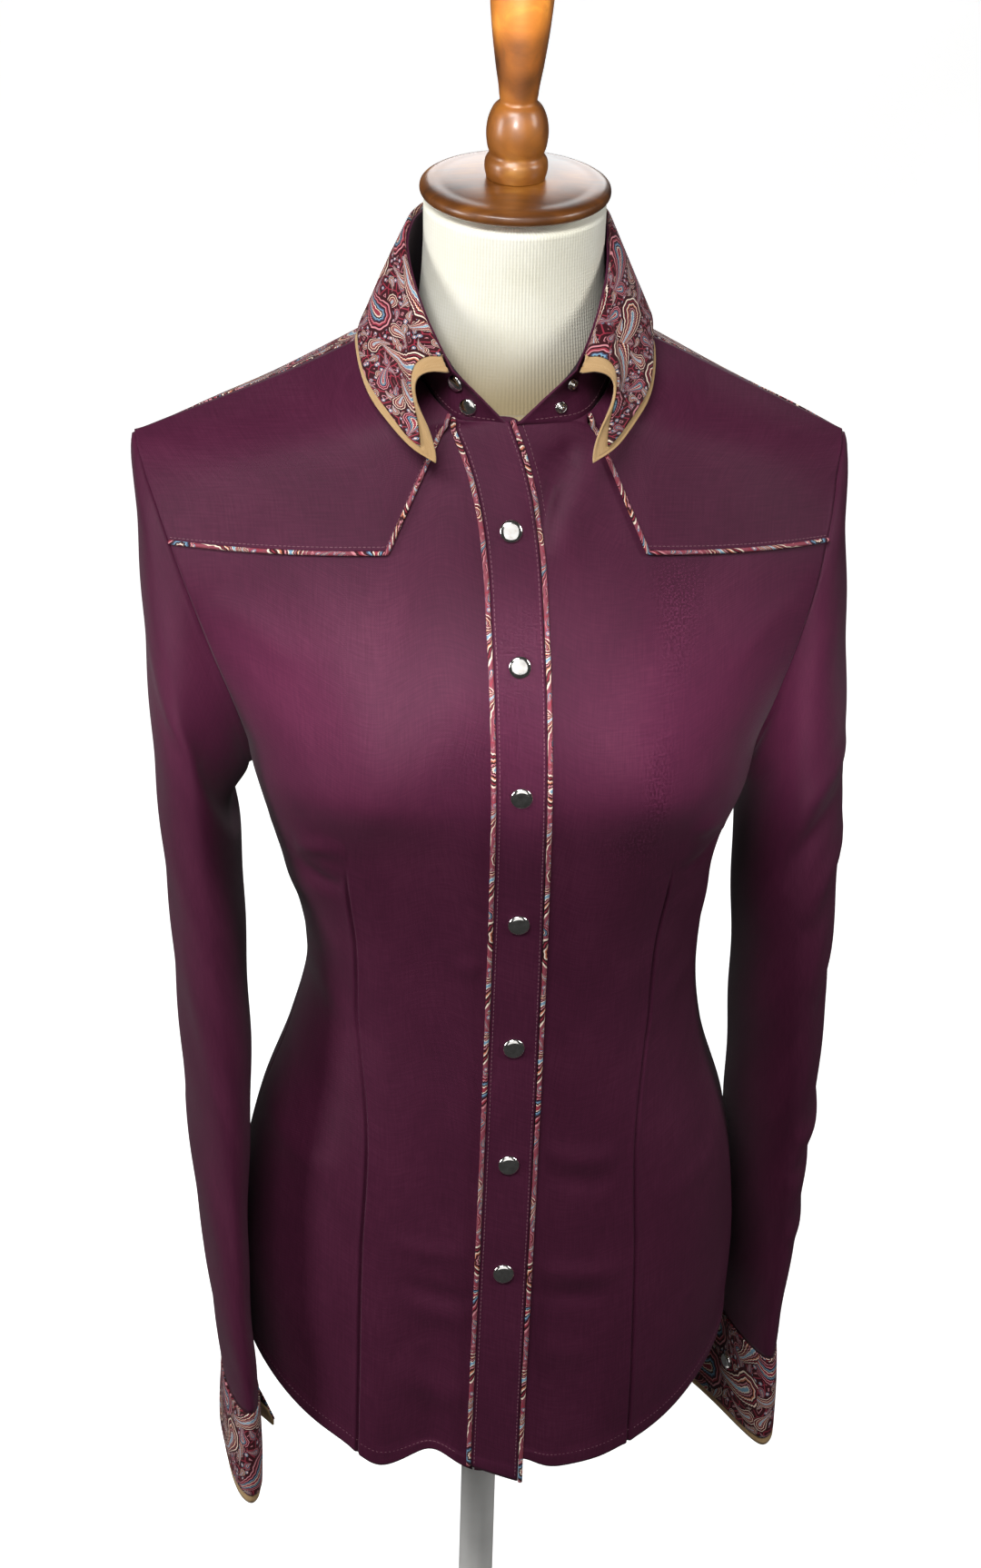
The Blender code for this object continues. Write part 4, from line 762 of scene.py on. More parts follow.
def weld(name, grids, finish, thickness, inner):
    """Two grids of points joined into one sheet where their edges coincide."""
    body, other = [piece("%s_%d" % (name, at), half, finish, uv=uv)
                   for at, (half, uv) in enumerate(grids)]
    joined = bmesh.new()
    for part in (body, other):
        joined.from_mesh(part.data)
    bmesh.ops.remove_doubles(joined, verts=joined.verts, dist=0.00002)
    joined.to_mesh(body.data)
    joined.free()
    bpy.data.objects.remove(other, do_unlink=True)
    body.name = body.data.name = name
    thicken(body, thickness, inner)
    return body


def stand_in(body, slot, *nodes):
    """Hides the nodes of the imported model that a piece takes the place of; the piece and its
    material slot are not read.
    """
    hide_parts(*nodes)


def sew(body, nodes, slot):
    """Hides the nodes of the imported model that a cloth piece stands for, by way of stand_in."""
    stand_in(body, slot, *nodes)


def turn_profile(profile, segments, place=(0, 0, 0), axis=(0, 0, 1)):
    """(radius, height) pairs swept round an axis: a grid whose last column is the first again."""
    angle = np.linspace(0, 2 * math.pi, segments + 1)
    radius, height = np.array(profile).T[:, :, None]
    local = np.stack([radius * np.cos(angle), radius * np.sin(angle), height + 0 * angle], -1)
    axis = np.array(axis, float) / np.linalg.norm(axis)
    side = np.cross((0.0, 1.0, 0.0) if abs(axis[1]) < 0.9 else (1.0, 0.0, 0.0), axis)
    side /= np.linalg.norm(side)
    basis = np.stack([side, np.cross(axis, side), axis])
    return local @ basis + np.array(place)


def rounded(profile, count):
    """More rows on a profile, on a smooth curve through its points by their running length."""
    profile = np.array(profile, float)
    along = running_length(profile)
    return through(along / along[-1], profile, np.linspace(0, 1, count))


# %% [markdown]
# ## Fronts
# The wearer's right front carries the placket and laps over the left front. Each is one panel from
# hem to yoke, with a waist dart sewn from hem to bust and a short bust dart from the side. The
# columns of the grid crowd towards the dart, so the sewn groove is crisp where a plain grid would
# step across it.

# %% Yoke line and front panels
PLACKET_HALF_WIDTH, UNDERLAP, LAYER_LIFT, YOKE_LIFT = 0.0142, 0.012, 0.0023, 0.0003
PIPING_RADIUS, YOKE_PIPING_RADIUS, CORD_GAP = 0.0014, 0.0014 * 0.9, 0.0004
# The placket's middle: height, and shift to the side.
PLACKET_LEAN = ((0.30, -0.0010), (0.90, -0.0010), (0.941, -0.0035), (0.962, -0.0062),
                (0.978, -0.0095), (0.992, -0.0135), (1.010, -0.0200))
PLACKET_TOP_Z = 1.0085
YOKE_ARMHOLE_Z, YOKE_ARMHOLE_X = 0.930, 0.1805
YOKE_CORNER, YOKE_NECK = (0.0695, 0.9400), (0.0385, 1.0080)        # distance across and height
BACK_YOKE_SHARE = 0.72
SIDE_END, NECK_S = 0.9995, 0.004
MID_PANEL_S, ROUGH_YOKE_SHARE = 0.45, 0.86      # where a panel's heights are read, near enough
EDGE_LEAVES = {-1: 0.070, 1: 0.006}     # how far below the neckline an edge leaves the placket
EDGE_STAGGER = 0.0012                   # keeps the two fronts' edges apart under the placket


def placket_centre(z):
    """The placket's sideways shift at a height, on a smooth curve through its table."""
    heights, shifts = zip(*PLACKET_LEAN)
    return through(heights, shifts, z)


def placket_s(x_offset, t):
    """s on the front at a distance across from the placket's middle."""
    return front_across(placket_centre(front_point(np.zeros_like(t), t)[..., 2]) + x_offset, t)


def placket_top(x_offset):
    """t of the placket's level top edge."""
    return solve(lambda t: front_point(placket_s(x_offset, t), t)[..., 2] - PLACKET_TOP_Z,
                 np.full_like(x_offset, 0.5), np.full_like(x_offset, 0.97))


def yoke_share(s):
    """t of the yoke line at s: the higher of its level part and its slanted part."""
    def crossing(start, end):
        """t at which the front meets a straight line through two (distance across, height)."""
        slope = (end[1] - start[1]) / (end[0] - start[0])

        def over(t):
            """Height above that line."""
            place = front_point(s, t)
            return place[..., 2] - start[1] - slope * (np.abs(place[..., 0]) - start[0])

        return solve(over, np.full(s.shape, 0.5), np.full(s.shape, 1.0))

    level = crossing(YOKE_CORNER, (YOKE_ARMHOLE_X, YOKE_ARMHOLE_Z))
    return np.maximum(level, crossing(YOKE_CORNER, YOKE_NECK))


def front_edge_s(side, t, t_neck):
    """s of a front's inner edge: under the placket, then joining the neckline by t_neck."""
    turn_off = ROW_SHARES[NECK_ROW] - EDGE_LEAVES[side]
    reach = -UNDERLAP if side > 0 else -UNDERLAP - EDGE_STAGGER
    under = placket_s(np.full_like(t, reach), np.minimum(t, turn_off))
    share = np.clip((t - turn_off) / (t_neck - turn_off), 0, 1)
    return under + (side * NECK_S - under) * share


def crowded(count, power):
    """Shares from 0 to 1 that crowd towards 1."""
    return 1 - (1 - np.linspace(0, 1, count))**power


def dart_share_at(side, dart, edge):
    """Share of the way from the inner edge to the side seam at which the dart lies."""
    return (dart - edge) / (side * SIDE_END - edge)


def front_panel(side):
    """Columns at s = edge + (side - edge) x share, where the middle column follows the dart."""
    rise = np.concatenate([[0, 0.002, 0.006, 0.0095, 0.0103, 0.0112], np.linspace(0.016, 0.93, 150),
                           np.linspace(0.93, 1, 30)[1:]])
    t_rough = rise * ROUGH_YOKE_SHARE
    z_rough = front_point(np.full_like(t_rough, side * MID_PANEL_S), t_rough)[..., 2]
    dart = front_across(side * dart_x(z_rough), t_rough)
    inner, outer = crowded(60, 1.7), 1 - crowded(66, 1.5)[::-1]
    top_dart = dart_share_at(side, dart[-1], side * NECK_S)
    share = np.concatenate([inner * top_dart, 1 - (1 - outer[1:]) * (1 - top_dart)])
    s_line = side * NECK_S + (side * SIDE_END - side * NECK_S) * share
    t = rise[:, None] * yoke_share(np.abs(s_line))[None, :]
    edge = front_edge_s(side, t[:, :1], ROW_SHARES[NECK_ROW])
    z = front_point(np.full_like(t, side * MID_PANEL_S), t)[..., 2]
    share = dart_share_at(side, front_across(side * dart_x(z), t), edge)
    count = len(inner)
    share[:, :count] *= inner
    share[:, count:] = 1 - (1 - outer[1:]) * (1 - share[:, count:])
    points = front_cloth(edge + (side * SIDE_END - edge) * share, t)
    return points if side > 0 else points[:, ::-1]


for name, side in (("front_right", -1), ("front_left", 1)):
    points = front_panel(side)
    panel = piece(name + "_panel", points, PLUM, CLOTH)
    sew(panel, [name], "plum_cloth")

# %% [markdown]
# ## Front yokes
# The western yoke is a second panel sewn above a pointed line, with a piping cord in the seam. It
# is the same body surface, so the two meet edge to edge and only the cord stands proud.

# %% Front yokes
fine = np.linspace(1.0, 0.0, 1601)
corner_s = float(np.interp(YOKE_CORNER[0], front_point(fine, yoke_share(fine))[::-1, 0],
                           fine[::-1]))
yoke_s = np.concatenate([np.linspace(SIDE_END, corner_s, 70),
                         np.linspace(corner_s, NECK_S, 44)[1:]])
yoke_t = yoke_share(yoke_s)


def to_shoulder(s):
    """t of the shoulder edge, where front and back yokes meet."""
    return SIDE_END - 0.0006 * np.abs(s)**2


def relaxed(points, rounds):
    """Inner points drawn halfway to the mean of those above and below, so a hard bend spreads."""
    points = points.copy()
    for _ in range(rounds):
        middle = (points[2:, 1:-1] + points[:-2, 1:-1]) / 2
        points[1:-1, 1:-1] += 0.5 * (middle - points[1:-1, 1:-1])
    return points


rise = np.linspace(0, 1, 60)[:, None]
t = yoke_t + (to_shoulder(yoke_s) - yoke_t) * rise
s = np.broadcast_to(yoke_s, t.shape)
for name, side in (("front_yoke_right", -1), ("front_yoke_left", 1)):
    points = relaxed(front_cloth(side * s, t, YOKE_LIFT), 110)
    points = points if side < 0 else points[:, ::-1]
    panel = piece(name + "_panel", points, PLUM, CLOTH, inner=PLUM_SHADED_INSIDE)
    sew(panel, [name], "plum_cloth")

# %% [markdown]
# ## Back and back yoke
# The back is plain plum with two shaping darts. The yoke over the shoulder blades is paisley, cut
# in one piece round the neck, so its grid has a row that turns from the middle of the back to the
# neckline. Its two halves are worked out apart and welded along the middle.

# %% Back and back yoke
s = np.linspace(-SIDE_END, SIDE_END, 151)[None, ::-1]
rise = np.concatenate([[0, 0.004, 0.0085, 0.0102, 0.0115], np.linspace(0.018, 1, 150)])[:, None]
points = back_cloth(s, rise * BACK_YOKE_SHARE)
panel = piece("back_panel", points, PLUM, CLOTH, inner=PLUM_SHADED_INSIDE)
sew(panel, ["back"], "plum_cloth")

neck = ROW_SHARES[NECK_ROW]
reach = np.linspace(0, SIDE_END, 71)[None, :]
low = np.linspace(BACK_YOKE_SHARE, neck, 41)[:-1]
t = np.concatenate([np.broadcast_to(low[:, None], (len(low), reach.shape[1])),
                    neck + (to_shoulder(reach) - neck) * np.linspace(0, 1, 44)[:, None]])
s = np.broadcast_to(reach, t.shape)
halves = back_cloth(s, t, YOKE_LIFT), back_cloth(-np.maximum(s, 1e-9), t, YOKE_LIFT)
yoke_grids = []
for half, way in zip(halves, (-1, 1)):
    lengths = cloth_lengths(half)
    lengths[..., 0] = (lengths[..., 0] - lengths[0, 0, 0]) * -way
    yoke_grids.append((half[:, ::way], lengths[:, ::way]))
points = np.concatenate([yoke_grids[0][0], yoke_grids[1][0][:, 1:]], axis=1)
back_yoke = weld("back_yoke_panel", yoke_grids, PAISLEY, CLOTH, PLUM_SHADED_INSIDE)
sew(back_yoke, ["back_yoke"], "paisley_cloth")

# %% [markdown]
# ## Placket and piping
# The placket is a folded strip, stitched down along both edges over the right front, with a
# covered cord let into each edge. A cord is a circle carried along a path; the path's own frame
# comes from the surface below it, so the cord never twists.

# %% Placket and piping
def frames(path, normals):
    """Side vectors of a path: its direction crossed with the surface's normal."""
    along = unit_vectors(np.gradient(path, axis=0))
    side = unit_vectors(np.cross(along, normals))
    return along, side, np.cross(side, along)


def cord(name, path, normals, radius, finish, around=10):
    """A covered cord: circles of one radius carried along the path, rounded off at both ends."""
    along, side, up_axis = frames(path, normals)
    path = np.concatenate([path[:1] - along[:1] * radius * 0.4, path,
                           path[-1:] + along[-1:] * radius * 0.4])
    side = np.concatenate([side[:1], side, side[-1:]])
    up_axis = np.concatenate([up_axis[:1], up_axis, up_axis[-1:]])
    size = np.full(len(path), radius)
    size[[0, -1]] *= 0.5
    angle = -np.linspace(0, 2 * math.pi, around + 1)[None, :, None]
    ring = np.cos(angle) * side[:, None] + np.sin(angle) * up_axis[:, None]
    return piece(name, path[:, None] + ring * size[:, None, None], finish, wrap=True, caps=True)


rise = np.linspace(0.0, 1.0, 331)
x = np.linspace(-PLACKET_HALF_WIDTH, PLACKET_HALF_WIDTH, 25)
t = rise[:, None] * placket_top(x)[None, :]
x = np.broadcast_to(x, t.shape)
edge_roll = 0.0007 * np.clip((np.abs(x) / PLACKET_HALF_WIDTH - 0.93) / 0.07, 0, 1)**2
placket_points = front_cloth(placket_s(x, t), t, LAYER_LIFT - edge_roll, laid=True)
placket = piece("placket_strip", placket_points, PLUM, CLOTH, inner=PLUM_SHADED_INSIDE)
sew(placket, ["placket"], "plum_cloth")


def piping(name, s, t, radius, laid=False):
    """A covered cord that lies on the front along a line of (s, t)."""
    path = front_cloth(s, t, PIPING_RADIUS + CORD_GAP, laid)
    made = cord(name + "_cord", path, outward(front_point, s, t, 1), radius, PIPING)
    stand_in(made, "paisley_cloth", name)


for name, side in (("placket_piping_right", -1), ("placket_piping_left", 1)):
    offset = np.full(len(rise), side * (PLACKET_HALF_WIDTH + PIPING_RADIUS))
    t = rise * placket_top(offset)
    piping(name, placket_s(offset, t), t, PIPING_RADIUS, laid=True)
s, t = np.minimum(yoke_s[:-2], 0.992), yoke_t[:-2]
for name, side in (("yoke_piping_right", -1), ("yoke_piping_left", 1)):
    piping(name, side * s, t, YOKE_PIPING_RADIUS)

# %% [markdown]
# ## Sleeves
# An empty set-in sleeve hangs flat and creases where it leaves the armhole. The sleeve is a tube:
# rings given by their centre, half thickness and half width, joined by the same cubic curve, from
# the armhole down. Its folds are written as on a flat pattern: distance round the sleeve from its
# outer side, forwards first, against height.

# %% Sleeves
# Rings, downwards: x, y, z of the centre; half thickness, half width; tilt; twist in degrees.
SLEEVE_RINGS = {
    "right": (
        (0.1815, -0.002, 0.845, 0.0260, 0.064, 0.085, 0),
        (0.1765, -0.005, 0.790, 0.0265, 0.066, 0.055, 0),
        (0.1735, -0.010, 0.730, 0.0250, 0.066, 0.030, 2),
        (0.1695, -0.018, 0.660, 0.0220, 0.064, 0.012, 5),
        (0.1665, -0.027, 0.600, 0.0190, 0.061, 0.000, 8),
        (0.1650, -0.037, 0.530, 0.0155, 0.056, 0.000, 9),
        (0.1615, -0.047, 0.470, 0.0125, 0.051, 0.000, 8),
        (0.1535, -0.058, 0.404, 0.0090, 0.046, 0.000, 8),
    ),
    "left": (
        (0.1685, 0.004, 0.845, 0.0245, 0.064, 0.085, 0),
        (0.1710, 0.005, 0.790, 0.0280, 0.066, 0.055, 0),
        (0.1730, 0.008, 0.730, 0.0300, 0.066, 0.030, 0),
        (0.1755, 0.012, 0.660, 0.0280, 0.064, 0.012, -4),
        (0.1760, 0.016, 0.600, 0.0250, 0.061, 0.000, -7),
        (0.1760, 0.020, 0.530, 0.0210, 0.056, 0.000, -10),
        (0.1745, 0.024, 0.460, 0.0170, 0.051, 0.000, -13),
        (0.1690, 0.028, 0.374, 0.0130, 0.047, 0.000, -17),
    ),
}
GIRTH = 0.24                    # pattern width that one turn round the sleeve stands for
# Folds: distance round and height of both ends, bow, half width, height.
SLEEVE_FOLDS = {
    "right": (
        (0.020, 0.880, 0.075, 0.800, 0.006, 0.0090, 0.0022),
        (0.050, 0.830, 0.062, 0.700, 0.004, 0.0120, -0.0016),
        (0.030, 0.700, 0.060, 0.560, 0.006, 0.0120, 0.0014),
        (0.040, 0.560, 0.066, 0.450, 0.004, 0.0100, -0.0012),
        (0.175, 0.820, 0.215, 0.740, 0.008, 0.0110, 0.0024),
        (0.170, 0.640, 0.220, 0.580, -0.008, 0.0110, 0.0022),
        (0.175, 0.600, 0.225, 0.560, -0.006, 0.0090, -0.0018),
        (0.180, 0.500, 0.220, 0.440, 0.006, 0.0100, 0.0016),
    ),
    "left": (
        (0.012, 0.800, 0.072, 0.745, -0.012, 0.0085, 0.0034),
        (0.014, 0.775, 0.074, 0.715, -0.010, 0.0080, -0.0034),
        (0.010, 0.745, 0.060, 0.690, -0.008, 0.0080, 0.0028),
        (0.030, 0.700, 0.060, 0.640, -0.004, 0.0090, 0.0016),
        (0.004, 0.660, 0.050, 0.620, -0.004, 0.0080, -0.0018),
        (0.006, 0.560, 0.064, 0.530, 0.006, 0.0080, 0.0024),
        (0.012, 0.540, 0.066, 0.505, 0.006, 0.0075, -0.0022),
        (0.020, 0.480, 0.064, 0.455, 0.004, 0.0080, 0.0018),
        (0.175, 0.800, 0.220, 0.730, 0.008, 0.0110, 0.0024),
        (0.170, 0.620, 0.220, 0.570, -0.008, 0.0110, 0.0022),
        (0.180, 0.480, 0.220, 0.430, 0.006, 0.0100, 0.0016),
    ),
}
# What differs from cuff to cuff: rises in metres, turns in degrees from the sleeve's outer side.
CUFF_TOP_RISE = {"right": -0.012, "left": 0.026}
CUFF_EDGE_RISE = {"right": 0.014, "left": 0.046}
CUFF_FLARE = {"right": 0.015, "left": 0.016}
CUFF_LOOSE_END = {"right": -1, "left": 1}               # which side of the slit stands open
CUFF_END_FULLNESS = {"right": 0.35, "left": 0.45}       # how much blunter the folds are below
CUFF_SLIT_TURN = {"right": 202, "left": 180}
CUFF_SNAP_TURN = {"right": -136, "left": 158}
CUFF_FOLD_DROP, CUFF_DEPTH, CUFF_POINT_BLUNT, CUFF_ROOM = 0.014, 0.060, 0.090, 0.0008
CUFF_FLARE_TURN, CUFF_GAP_TURN, CUFF_FLARE_FROM = math.radians(70), 0.06, 0.25


def armhole_loop(side, alpha):
    """The armhole as on the wearer's left; alpha is 0 at the shoulder and pi/2 in front."""
    away = 1 if side == "left" else -1
    front = [(row[3] + away * row[9], *row[4:6]) for row in FRONT_SECTIONS[:ARMHOLE_FOOT - 1:-1]]
    back = [(row[3] + away * row[9], *row[4:6]) for row in BACK_SECTIONS[ARMHOLE_FOOT + 1:]]
    loop = np.array(front + back)
    length = running_length(loop)
    half = length[len(front) - 1]
    turn = np.where(length <= half, math.pi * length / half,
                    math.pi * (1 + (length - half) / (length[-1] - half)))
    return through(turn, loop, alpha)


def sleeve_ring(alpha, x, y, z, thick, wide, tilt, twist):
    """Flattened ring; alpha 0 is its outer side, pi/2 its front fold."""
    twist = math.radians(twist)
    across, along = thick * np.cos(alpha), -wide * np.sin(alpha)
    return np.stack([x + across * math.cos(twist) + along * math.sin(twist),
                     y - across * math.sin(twist) + along * math.cos(twist),
                     z + tilt * np.cos(alpha)], axis=-1)


def from_front_fold(alpha):
    """0 on the front fold, about 1 on the back fold, rounded off at the front fold."""
    share = np.abs((alpha - math.pi / 2 + math.pi) % (2 * math.pi) - math.pi) / math.pi
    return np.sqrt(share**2 + CUFF_POINT_BLUNT**2) - CUFF_POINT_BLUNT


MIRROR = {"right": np.array((-1, 1, 1)), "left": np.array((1, 1, 1))}


def mirror_side(points, side):
    """The wearer's right side is the left one at -X, with its columns the other way round."""
    return points if side == "left" else (points * MIRROR[side])[:, ::-1]


def tube_normals(points):
    """Normals of a closed grid whose last column is the first one again."""
    padded = np.concatenate([points[:, -2:-1], points, points[:, 1:2]], axis=1)
    around = padded[:, 2:] - padded[:, :-2]
    return unit_vectors(np.cross(around, np.gradient(points, axis=0)))


SLEEVE_COLUMNS, SLEEVE_ROWS = 121, 150
SEAM_GAP, UNDERARM_GAP = 0.0010, 0.0014             # how far the cloth leaves the armhole at once
HEAD_SHARE, HEAD_FULLNESS, HEAD_RISE = 0.26, 0.0020, 0.0060        # the eased head below it
CUFF_BLEND_FROM, SLEEVE_WAVES = 0.86, 0.0009
SEAM_TUCK = np.array([-0.0012, 0.0, -0.0006])       # the sleeve starts just inside the armhole
alpha = np.linspace(0, 2 * math.pi, SLEEVE_COLUMNS)
top = (1 + np.cos(alpha)) / 2                       # 1 at the shoulder, 0 under the arm
for side in ("right", "left"):
    table = [sleeve_ring(alpha, *row) for row in SLEEVE_RINGS[side]]
    loop = armhole_loop(side, alpha)
    under = UNDERARM_GAP * (1 - top)
    start = loop + np.stack([SEAM_GAP + under, 0 * alpha, -under], -1)
    head = loop * (1 - HEAD_SHARE) + table[0] * HEAD_SHARE
    head[:, 0] += HEAD_FULLNESS * top
    head[:, 2] += HEAD_RISE * top**2
    control = np.stack([start, head] + table)
    knots = np.concatenate(([0.0], np.cumsum(
        np.linalg.norm(np.diff(control, axis=0), axis=2).mean(axis=1))))
    knots /= knots[-1]
    where = np.concatenate([[0.0, 0.004], np.linspace(0.012, 1.0, SLEEVE_ROWS)])
    rings = np.stack([through(knots, control[:, i], where) for i in range(len(alpha))], axis=1)
    rings[0] = loop + SEAM_TUCK
    lower = np.clip((where - CUFF_BLEND_FROM) / (1 - CUFF_BLEND_FROM), 0, 1)[:, None]
    rings[..., 2] += lower * (CUFF_TOP_RISE[side] * from_front_fold(alpha) - CUFF_FOLD_DROP
                              + 0.0004)
    pattern_x = np.broadcast_to(alpha / (2 * math.pi) * GIRTH, rings.shape[:2])
    rise = sum(folds(pattern_x + shift, rings[..., 2], SLEEVE_FOLDS[side])
               for shift in (-GIRTH, 0.0, GIRTH))
    rise += SLEEVE_WAVES * np.sin(alpha * 2 + rings[..., 2] * 55) * np.sin(rings[..., 2] * 31 + 1.0)
    quiet = np.clip(where / 0.10, 0, 1)[:, None] * np.clip((1 - where) / 0.05, 0, 1)[:, None]
    rings = rings + tube_normals(rings) * (rise * quiet)[..., None]
    points = mirror_side(rings, side)
    sleeve = piece("sleeve_%s_tube" % side, points, PLUM, CLOTH, wrap=True, inner=PLUM_SHADED_INSIDE)
    sew(sleeve, ["sleeve_" + side], "plum_cloth")

# %% [markdown]
# ## Cuffs
# The cuffs are paisley, pointed on the sleeve's front fold and open along a slit, with a tan edge
# let in below. Their folds get blunter towards the edge. One end stands open at the slit, so the
# ring is pushed away near it: the right cuff's end past its slit, the left cuff's end before it.

# %% Cuffs
def cuff_ring(side, alpha, depth):
    """Ring of a cuff: depth 0 at its seam and 1 at its pointed lower edge."""
    x, y, z, thick, wide, _, twist = SLEEVE_RINGS[side][-1]
    fold = from_front_fold(alpha)
    seam_z = z - CUFF_FOLD_DROP + CUFF_TOP_RISE[side] * fold
    edge_z = z - CUFF_FOLD_DROP - CUFF_DEPTH + CUFF_EDGE_RISE[side] * fold
    full = 1 + CUFF_END_FULLNESS[side] * np.clip(depth, 0, 1) * np.sin(alpha)**2
    ring = sleeve_ring(alpha, x, y, z, (thick + CUFF_ROOM) * full, wide + CUFF_ROOM, 0.0, twist)
    ring[..., 2] = seam_z + (edge_z - seam_z) * depth
    slit = math.radians(CUFF_SLIT_TURN[side])
    if CUFF_LOOSE_END[side] > 0:
        from_slit = slit - alpha
    else:
        from_slit = alpha - (slit - 2 * math.pi + CUFF_GAP_TURN)
    near = np.clip(1 - from_slit / CUFF_FLARE_TURN, 0, 1)
    open_below = np.clip((depth - CUFF_FLARE_FROM) / (1 - CUFF_FLARE_FROM), 0, 1)
    ring[..., 0] -= CUFF_FLARE[side] * near**2 * open_below
    return ring


def cuff_normal(side, alpha, depth):
    """Level normal of a cuff, out of the sleeve."""
    run = cuff_ring(side, alpha + 0.02, depth) - cuff_ring(side, alpha - 0.02, depth)
    return unit_vectors(np.stack([-run[..., 1], run[..., 0], 0 * run[..., 0]], axis=-1))


def on_cuff(side, turn, depth, lift):
    """Points so far off a cuff, and its normals there, on the cuff's own side of the body."""
    normal = cuff_normal(side, turn, depth)
    return (cuff_ring(side, turn, depth) + normal * lift) * MIRROR[side], normal * MIRROR[side]


CUFF_SWELL, CUFF_WAVES = 0.0006, 0.0005
EDGE_SHOW = 0.0056              # how far the tan edge shows
for side in ("right", "left"):
    slit = math.radians(CUFF_SLIT_TURN[side])
    turn = np.linspace(slit - 2 * math.pi + CUFF_GAP_TURN, slit, 150)[None, :]
    turn, depth = np.broadcast_arrays(turn, np.linspace(-0.01, 1.0, 40)[:, None])
    swell = (CUFF_SWELL * np.sin(math.pi * np.clip(depth, 0, 1))
             + waves(turn * 0.04, depth * 0.06, CUFF_WAVES))
    points = mirror_side(cuff_ring(side, turn, depth)
                         + cuff_normal(side, turn, depth) * swell[..., None], side)
    cuff = piece("cuff_%s_band" % side, points, PAISLEY, CLOTH, inner=PLUM_SHADED_INSIDE)
    sew(cuff, ["cuff_" + side], "paisley_cloth")
    show = EDGE_SHOW / CUFF_DEPTH
    depth = np.linspace(1.0 - 2.0 * show, 1.0 + show, 9)[:, None]
    turn, depth = np.broadcast_arrays(turn[:1], depth)
    points = mirror_side(cuff_ring(side, turn, depth)
                         - cuff_normal(side, turn, depth) * (CLOTH / 2), side)
    edge = piece("cuff_%s_tan_edge" % side, points, TAN, CLOTH)
    sew(edge, ["cuff_edge_" + side], "tan_cloth")

# %% [markdown]
# ## Collar
# The collar has a stand, round the neck, and a leaf that rolls over it and falls in two wings.
# Four curves carry it: the neckline, the roll, the leaf's outer edge and the bow of its front. The
# roll itself is a half turn of cloth from the stand's top over to the leaf. The under-collar is
# tan and cut a little larger, so that it shows as a border: that border is a strip that follows
# the leaf's outline, a thickness inside it.

# %% Collar
# Places on the collar from centre back to a front end: their shares of the way round, and the
# x, y, z of three curves there.
COLLAR_SHARES = (0.0, 0.25, 0.50, 0.66, 0.82, 0.92, 1.0)
NECKLINE_CURVE = ((0.000, 0.0570, 1.0450), (0.0425, 0.0395, 1.0430), (0.0598, 0.0040, 1.0372),
                  (0.0528, -0.0330, 1.0250), (0.0345, -0.0662, 1.0098), (0.0190, -0.0700, 1.0080),
                  (0.0030, -0.0722, 1.0078))
ROLL_CURVE = ((0.000, 0.0590, 1.0980), (0.0405, 0.0375, 1.0980), (0.0545, 0.0000, 1.0945),
              (0.0535, -0.0260, 1.0790), (0.0455, -0.0510, 1.0585), (0.0390, -0.0660, 1.0475),
              (0.0335, -0.0755, 1.0385))
LEAF_EDGE_CURVE = ((0.000, 0.0840, 1.0420), (0.0600, 0.0580, 1.0380), (0.0810, -0.0080, 1.0350),
                   (0.0765, -0.0500, 1.0190), (0.0620, -0.0760, 1.0050), (0.0520, -0.0870, 0.9985),
                   (0.0405, -0.0925, 0.9930))
LEAF_STANDOFF, LEAF_FRONT_STANDOFF, LEAF_ROUND_UP = 0.0022, 0.0025, 0.0018
COLLAR_SHIFT, LEAF_BULGE, LEAF_FRONT_BOW, LEAF_CREST = -0.0043, 0.0005, 0.0178, 0.0055
LEAF_FRONT_START, LEAF_BOW_HIGH, LEAF_BOW_FULL, LEAF_CREST_END = 0.76, 0.47, 1.5, 0.4
LEAF_FRONT_SHOW, LEAF_EDGE_SHOW = 0.055, 0.075      # shares of the leaf that the border shows
ROLL_SHARE, ROLL_HEIGHT = 0.10, 0.0016
BORDER_CLOTH, BORDER_GAP, BORDER_SEAM, BORDER_SEAM_DEPTH = 0.0011, 0.0002, 0.30, 0.0006
STAND_TUCK, STAND_TUCK_SHARE, LEAF_RIPPLE = 0.0018, 0.06, 0.0006


def collar_curve(rows, u, shift):
    """A collar curve for u from -1 (wearer's right end) through 0 (centre back) to 1."""
    full = [(-x, y, z) for x, y, z in rows[:0:-1]] + list(rows)
    knots = [-share for share in COLLAR_SHARES[:0:-1]] + list(COLLAR_SHARES)
    place = through(knots, full, u)
    place[..., 0] += shift
    return place


def roll_shift(place):
    """The open front of the collar sits a little towards the wearer's right."""
    share = np.clip((0.02 - place[..., 1]) / 0.03, 0, 1)
    return share[..., None] * np.array([COLLAR_SHIFT, 0.0, 0.0])


def roll_point(u):
    """The roll: its curve, moved over at the open front."""
    place = collar_curve(ROLL_CURVE, u, 0.0)
    return place + roll_shift(place)


def stand_point(u, v):
    """Collar stand: v from the neckline (0) to the roll (1), straight between the two."""
    low = collar_curve(NECKLINE_CURVE, u, COLLAR_SHIFT * np.clip((np.abs(u) - 0.8) / 0.2, 0, 1))
    return low + (roll_point(u) - low) * v[..., None]


